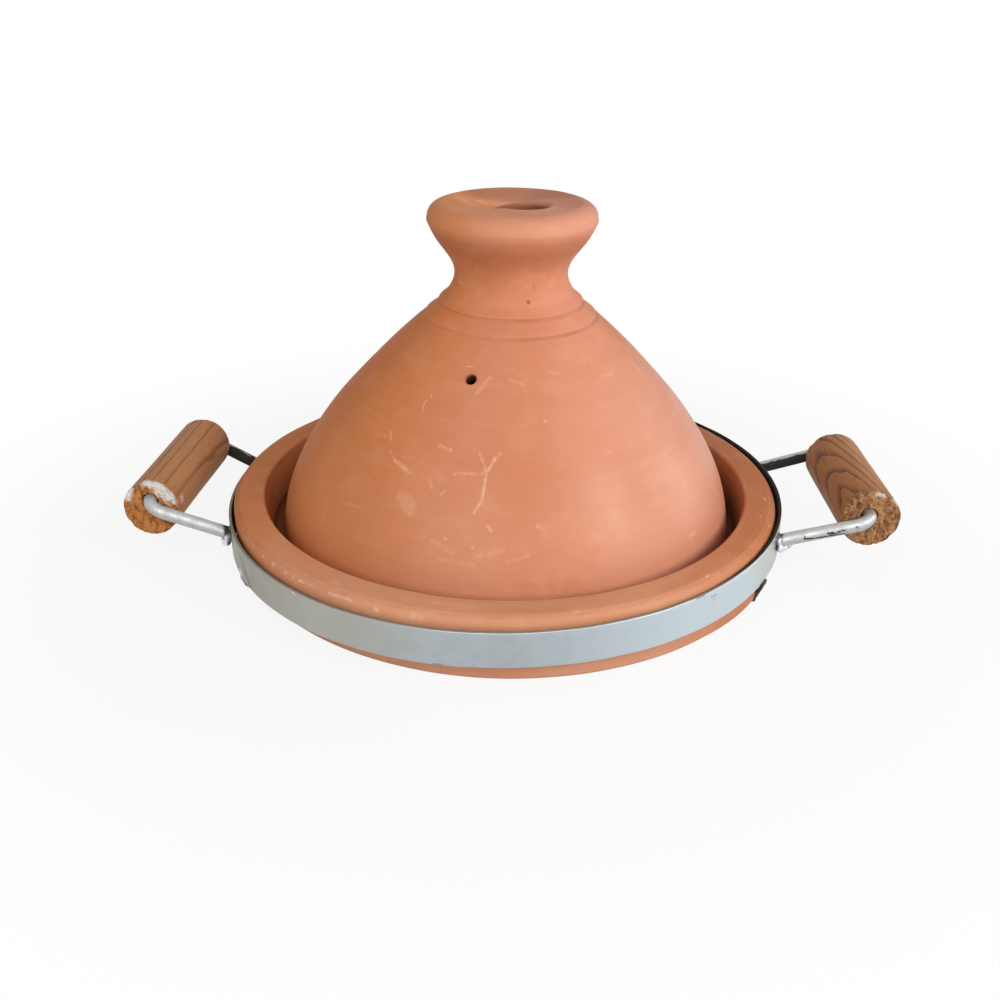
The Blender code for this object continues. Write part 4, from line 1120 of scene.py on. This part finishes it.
def sweepRod(points):
    bm, bend = bmesh.new(), handles["bendRadius"]
    bmesh.ops.create_circle(bm, cap_ends=False, segments=handles["rodSides"], radius=handles["rodRadius"],
                            matrix=facing(points[0], (points[1] - points[0]).normalized()))
    edges, here = list(bm.edges), points[0]
    for before, corner, after in zip(points, points[1:], points[2:]):
        first, second = (corner - before).normalized(), (after - corner).normalized()
        angle = first.angle(second)
        start = corner - first * bend * math.tan(angle / 2)
        edges = extrudeRing(bm, edges, start - here)
        inward = (second - first * first.dot(second)).normalized()
        verts = list({vert for edge in edges for vert in edge.verts})
        made = bmesh.ops.spin(bm, geom=verts + edges, cent=start + inward * bend, axis=first.cross(second),
                              angle=angle, steps=handles["bendSteps"])["geom_last"]
        edges = [item for item in made if isinstance(item, bmesh.types.BMEdge)]
        here = corner + second * bend * math.tan(angle / 2)
    extrudeRing(bm, edges, points[-1] - here)
    fillHoles(bm)
    bmesh.ops.remove_doubles(bm, verts=bm.verts, dist=1e-6)
    bmesh.ops.recalc_face_normals(bm, faces=bm.faces)
    return bm


def makeZinc(sideName):
    material, shader, place = startMaterial("zincRod" + sideName.capitalize())
    cloud, grain = useGroup(metalMottle, {"Place": place, "Size": rodLooks["mottle"]})
    x, y, _ = splitOf(place)
    _, back, up = splitOf(makeNode(place.id_data, "TexCoord").outputs["Normal"])
    far = rangeOf(y, *rodLooks["far"])  # painted shade: the far legs are dark below, the near ones hardly
    edge = plus(times(far, rangeOf(x, *rodLooks["climb"])), rodLooks["level"])
    # painted shade and reflection: dark below a level, higher on the far legs
    shadeAndBurn = rangeOf(minus(edge, plus(up, times(cloud, rodLooks["cloudShare"]))), *rodLooks["edge"])
    # painted reflection: the back-facing sides of the near legs are dark, more on the right rod
    rearShade = times(rangeOf(back, *rodLooks["rearShade"], rodLooks["backs"][sideName]), minus(1.0, far))
    # the dark also takes the back-facing sides, and real weld burn near the rod ends
    shadeAndBurn = larger(larger(shadeAndBurn, rearShade), rangeOf(flatLength(place), *rodLooks["ends"]))
    colour = mixOf(rangeOf(cloud, *rodLooks["clouds"]), rodLooks["tone"], rodLooks["cloud"])
    colour = mixOf(shadeAndBurn, colour, rodLooks["under"])
    colour = mixOf(marksOf(warpOf(place, *rodLooks["warp"]), rodLooks[sideName]), colour, rodLooks["under"])
    speck = times(rangeOf(grain, *rodLooks["speckSpan"]), rangeOf(up, *rodLooks["speckUp"]))
    colour = mixOf(times(speck, far), colour, rodLooks["speck"])
    rough = larger(rangeOf(cloud, *metal["mid"], *rodLooks["roughness"]), times(shadeAndBurn, rodLooks["shadeAndBurnRough"]))
    setShader(shader, {"Base Color": colour, "Roughness": rough,
                       "Metallic": rangeOf(shadeAndBurn, *rodLooks["metallic"]),
                       "Specular IOR Level": rodLooks["gloss"]}, cloud, rodLooks["relief"])
    return material


def makeRod(sideName):
    nearWeld, near, far, farWeld = handleCorners(handles[sideName])
    root = handles["root"]
    bm = sweepRod([nearWeld + (nearWeld - near).normalized() * root, near, far,
                   farWeld + (farWeld - far).normalized() * root])
    makeUneven(bm, *handles["uneven"])
    bm.transform(hoopMatrix())
    finishPiece(bm, "rod" + sideName.capitalize(), ["handle_rod_" + sideName], "carrying_frame", "zinc_rod",
                [makeZinc(sideName)], 50)


# Welds: lumps of molten metal, as (along the rod, sideways, up, size) from the weld point

welds = {
    "front_right": ((0.0010, 0.0, -0.0062, 0.0016), (0.0022, 0.0, -0.0048, 0.0022),
                    (0.0042, 0.0, -0.0040, 0.0022), (0.0064, 0.0, -0.0030, 0.0018),
                    (0.0008, 0.0022, -0.0030, 0.0026), (0.0008, -0.0022, -0.0030, 0.0026),
                    (0.0004, 0.0026, 0.0014, 0.0026), (0.0004, -0.0026, 0.0014, 0.0026),
                    (0.0003, 0.0, 0.0032, 0.0022)),
    "front_left": ((0.0004, 0.0004, -0.0058, 0.0026), (0.0012, 0.0, -0.0046, 0.0026),
                   (0.0003, 0.0026, -0.0010, 0.0028), (0.0003, -0.0026, -0.0010, 0.0028),
                   (0.0003, 0.0, 0.0030, 0.0024), (0.0004, 0.0014, -0.0032, 0.0030)),
    "back_right": ((0.0004, 0.0, -0.0034, 0.0028), (0.0004, 0.0028, 0.0, 0.0028),
                   (0.0004, -0.0028, 0.0, 0.0028), (0.0004, 0.0, 0.0030, 0.0028)),
    "back_left": ((0.0004, 0.0, -0.0034, 0.0028), (0.0004, 0.0028, -0.0004, 0.0028),
                  (0.0004, -0.0028, 0.0, 0.0028), (0.0004, 0.0, 0.0030, 0.0028)),
    "voxel": 0.00045, "steps": 16, "mottle": 0.0034, "hot": (0.1600, 0.1582, 0.0, 0.85),
    "tone": (0.82, 0.83, 0.88), "cloud": (0.20, 0.20, 0.20), "clouds": (0.52, 0.66),
    "burnt": (0.035, 0.035, 0.035),
    "roughness": (0.22, 0.5), "metallic": 0.9, "relief": 0.00025,
}


def makeWeldMetal():
    material, shader, place = startMaterial("weldMetal")
    cloud, grain = useGroup(metalMottle, {"Place": place, "Size": welds["mottle"]})
    colour = mixOf(rangeOf(cloud, *welds["clouds"]), welds["tone"], welds["cloud"])
    colour = mixOf(rangeOf(flatLength(place), *welds["hot"]), colour, welds["burnt"])
    setShader(shader, {"Base Color": colour, "Roughness": rangeOf(grain, *metal["mid"], *welds["roughness"]),
                       "Metallic": welds["metallic"]}, grain, welds["relief"])
    return material


def makeWeld(end, sideName, weld, corner, material):
    along = (corner - weld).normalized()
    across = along.cross(Vector((0, 0, 1))).normalized()
    up = across.cross(along)
    bm = bmesh.new()
    for forward, side, rise, size in welds[end + "_" + sideName]:
        point = weld + along * forward + across * side + up * rise
        bmesh.ops.create_icosphere(bm, subdivisions=3, radius=size, matrix=Matrix.Translation(point))
    bm.transform(hoopMatrix())
    item = addItem("weldLumps", meshOf(bm, "weldLumps"))
    melt = item.modifiers.new("melt", "REMESH")
    melt.mode, melt.voxel_size = "VOXEL", welds["voxel"]
    item.modifiers.new("flow", "SMOOTH").iterations = welds["steps"]
    dressPiece(appliedMesh(item, "weld"), "weld" + end.capitalize() + sideName.capitalize(),
               ["weld_bead_" + end + "_" + sideName], "carrying_frame", "weld_metal", [material], 60)


# Grips

grips = {
    "boreRadius": 0.00475, "nearClear": 0.0090, "farClear": 0.0078, "hang": 0.00095, "endRound": 0.0012,
    "steps": 128, "rings": 40, "cuts": 16, "boreStep": 0.004, "endDepth": 0.0002, "solidFrom": 0.9,
    # rough ends: (how fine, how deep) twice, then how far in; chipped edges: how fine, deep and wide
    "rough": ((640, 0.0009), (260, 0.0008), 0.0008), "chips": (340, 0.0022, 0.0035),
    "wave": ((160, 160, 22), 0.00022),
    "left": {"radius": 0.0157, "tone": (0.450, 0.198, 0.078), "late": (0.150, 0.052, 0.018),
             "lateShare": 0.70, "ring": 0.0062, "soft": 0.72, "seed": 3.1, "bend": 0.0044,
             "ringWay": (1.0, 0.12), "ringAway": 0.060, "ringSlope": 0.03, "endTone": (0.56, 0.226, 0.069),
             "endDark": (0.26, 0.088, 0.022), "endScale": 330.0, "torn": 0.15},
    "right": {"radius": 0.0163, "tone": (0.368, 0.157, 0.052), "late": (0.100, 0.032, 0.009),
              "lateShare": 0.82, "ring": 0.0021, "soft": 0.56, "seed": 8.4, "bend": 0.0032,
              "ringWay": (-0.70, -0.71), "ringAway": 0.018, "ringSlope": 0.105,
              "endTone": (0.40, 0.205, 0.092), "endDark": (0.150, 0.060, 0.024), "endScale": 470.0,
              "torn": 0.85},
    "pale": (0.52, 0.29, 0.14), "endFleck": (0.72, 0.375, 0.140), "residue": (0.74, 0.74, 0.72),
    "gloss": 0.18, "roughness": (0.0, 1.0, 0.55, 0.85), "relief": 0.00040,
    # wood: how slowly it changes along the grip, then rings, fibres, clouds and both rough ends
    "slow": (1.0, 1.0, 0.16), "bendScale": 75.0, "ringEnd": 0.94, "ringEdge": (1.0, 0.95),
    "fibreWay": (1.0, 1.0, 0.05), "fibre": (1500.0, 3.0, 0.6), "paleFibre": (0.5, 0.72, 0.0, 0.35),
    "lateFibre": (0.45, 0.28, 0.0, 0.40), "clouds": ((90.0, 3.0), (0.45, 0.75, 0.0, 0.30)),
    "fleckWay": (1.0, 0.6, 1.0), "fleck": (5.0, 0.66), "fleckSpan": (0.58, 0.38), "brightFiner": 2.2,
    "bright": ((2.0, 0.6), (0.56, 0.70, 0.0, 0.7)), "cutFleck": 0.9, "cutSpan": (0.42, 0.58),
    "tornFleck": 0.014, "tornSpan": (0.0125, 0.0085, 0.0), "residueWarp": (600.0, 0.0034),
    "residuePatch": ((420.0, 3.0, 0.6), (0.32, 0.42, 0.25, 1.0)),
    "fibreHeight": 0.4, "fleckHeight": 1.6, "lateHeight": 0.5,
}

# pale residue in the grip's own frame: two ends, width, strength
residueMarks = {
    "left": (((-0.0015, -0.0112, 0.0010), (0.0065, -0.0094, 0.0004), 0.0042, 1.0),
             ((0.0065, -0.0094, 0.0002), (0.0128, -0.0010, 0.0002), 0.0038, 1.0),
             ((0.0050, -0.0060, -0.0006), (0.0095, -0.0010, -0.0006), 0.0036, 1.0),
             ((-0.0108, -0.0072, 0.0004), (-0.0126, -0.0020, 0.0002), 0.0034, 0.9),
             ((0.0150, 0.0008, 0.0085), (0.0152, 0.0018, 0.0075), 0.0030, 0.45)),
    "right": (((0.0120, -0.0105, 0.0006), (0.0145, -0.0070, 0.0010), 0.0018, 0.8),
              ((0.0030, -0.0128, 0.0006), (0.0060, -0.0122, 0.0006), 0.0018, 0.8)),
}


def gripFrame(shape):
    _, near, far, _ = handleCorners(shape)
    along = (far - near).normalized()
    sideways = along.cross(Vector((0, 0, 1))).normalized()
    down = along.cross(sideways)
    place = Matrix((sideways, down, along)).transposed().to_4x4()
    place.translation = near + along * grips["nearClear"] + down * grips["hang"]
    return hoopMatrix() @ place, (far - near).length - grips["nearClear"] - grips["farClear"]


def gripProfile(big, length):
    bore, e, cuts = grips["boreRadius"], grips["endRound"], shares(1, grips["cuts"], grips["cuts"])
    heights = (0.0, grips["boreStep"], length * 0.5, length - grips["boreStep"], length)
    return [*arcPoints(big - e, length - e, e, 90, 0, 3),
            *((big, between(length - e, e, share)) for share in shares(1, grips["rings"], grips["rings"])),
            *arcPoints(big - e, e, e, 0, -90, 3), *((between(big - e, bore, share), 0.0) for share in cuts),
            *((bore, z) for z in heights), *((between(bore, big - e, share), length) for share in cuts)]


def makeGrip(sideName):
    shape, looks, bore = handles[sideName], grips[sideName], grips["boreRadius"]
    place, length = gripFrame(shape)
    big, seed = looks["radius"], Vector((looks["seed"], 0, 0))
    (fine, fineDepth), (broad, broadDepth), inset = grips["rough"]
    (chipFine, chipDepth, chipWidth), (waves, waveDepth) = grips["chips"], grips["wave"]
    bm = spinProfile(gripProfile(big, length), grips["steps"], closed=True)
    cutLayer = bm.verts.layers.float.new("cutEnd")
    bm.normal_update()
    for vert in bm.verts:
        share, edge = vert.co.z / length, min(vert.co.z, length - vert.co.z)
        solid = clamped((vert.co.xy.length - bore) / (big * grips["solidFrom"] - bore))
        vert[cutLayer] = float(edge < grips["endDepth"])
        if edge < grips["endDepth"]:
            rough = noise.noise(vert.co * fine + seed) * fineDepth - inset
            rough += noise.noise(vert.co * broad + seed) * broadDepth
            vert.co.z += rough * (1 if share > 0.5 else -1)
        elif solid > grips["solidFrom"]:
            chip = math.exp(-edge / chipWidth) * max(noise.noise(vert.co * chipFine + seed), 0.0) * chipDepth
            wave = noise.noise(vert.co * Vector(waves) + seed)
            vert.co.xy *= 1 - (chip + waveDepth * (1 + wave)) / big
        for axis, shifts in enumerate(zip(shape["woodNear"], shape["woodFar"])):
            vert.co[axis] += solid * between(*shifts, share)
    bm.transform(place)
    finishPiece(bm, "grip" + sideName.capitalize(), ["grip_" + sideName], sideName + "_grip", "turned_wood",
                [makeWood(sideName, place)], 50)


def makeWood(sideName, frameMatrix):
    looks = grips[sideName]
    material, shader, place = startMaterial("turnedWood" + sideName.capitalize())
    own = ownPlace(place, frameMatrix)
    slow = vectorOf("MULTIPLY", own, grips["slow"])
    bent = warpOf(slow, grips["bendScale"], looks["bend"])
    z, (wayX, wayY) = splitOf(own)[2], looks["ringWay"]
    toward = vectorOf("DOT_PRODUCT", bent, (wayX, wayY, 0.0))
    across = vectorOf("DOT_PRODUCT", bent, (-wayY, wayX, 0.0))
    lean = minus(looks["ringAway"], times(z, looks["ringSlope"]))
    radius = vectorOf("LENGTH", joinOf(plus(toward, lean), across, 0.0))
    turns = mathOf("FRACT", mathOf("DIVIDE", radius, looks["ring"]))
    late = times(rangeOf(turns, looks["soft"], grips["ringEnd"]), rangeOf(turns, *grips["ringEdge"]))
    fibre = noiseOf(vectorOf("MULTIPLY", own, grips["fibreWay"]), *grips["fibre"])
    colour = mixOf(times(late, looks["lateShare"]), looks["tone"], looks["late"])
    colour = mixOf(rangeOf(fibre, *grips["paleFibre"]), colour, grips["pale"])
    colour = mixOf(rangeOf(fibre, *grips["lateFibre"]), colour, looks["late"])
    colour = mixOf(patchOf(slow, *grips["clouds"]), colour, grips["pale"])
    fleck = noiseOf(vectorOf("MULTIPLY", own, grips["fleckWay"]), looks["endScale"], *grips["fleck"])
    endColour = mixOf(rangeOf(fleck, *grips["fleckSpan"]), looks["endTone"], looks["endDark"])
    values, span = grips["bright"]
    bright = patchOf(own, (looks["endScale"] * grips["brightFiner"], *values), span)
    endColour = mixOf(bright, endColour, grips["endFleck"])
    cut = makeNode(own.id_data, "Attribute", {"attribute_name": "cutEnd"}).outputs["Fac"]
    cut = rangeOf(plus(cut, times(minus(fleck, 0.5), grips["cutFleck"])), *grips["cutSpan"])
    torn = rangeOf(plus(z, times(fleck, grips["tornFleck"])), *grips["tornSpan"], looks["torn"])
    colour = mixOf(larger(cut, torn), colour, endColour)
    residue = marksOf(warpOf(own, *grips["residueWarp"]), residueMarks[sideName])
    residue = times(residue, patchOf(own, *grips["residuePatch"]))
    colour = mixOf(residue, colour, grips["residue"])
    height = plus(times(fibre, grips["fibreHeight"]), times(times(fleck, cut), grips["fleckHeight"]))
    setShader(shader, {"Base Color": colour, "Roughness": rangeOf(cut, *grips["roughness"]),
                       "Specular IOR Level": grips["gloss"]},
              minus(height, times(late, grips["lateHeight"])), grips["relief"])
    return material


weldMetal = makeWeldMetal()
for sideName in ("right", "left"):
    makeRod(sideName)
    nearWeld, near, far, farWeld = handleCorners(handles[sideName])
    makeWeld("front", sideName, nearWeld, near, weldMetal)
    makeWeld("back", sideName, farWeld, far, weldMetal)
    makeGrip(sideName)
print("stage: handles")
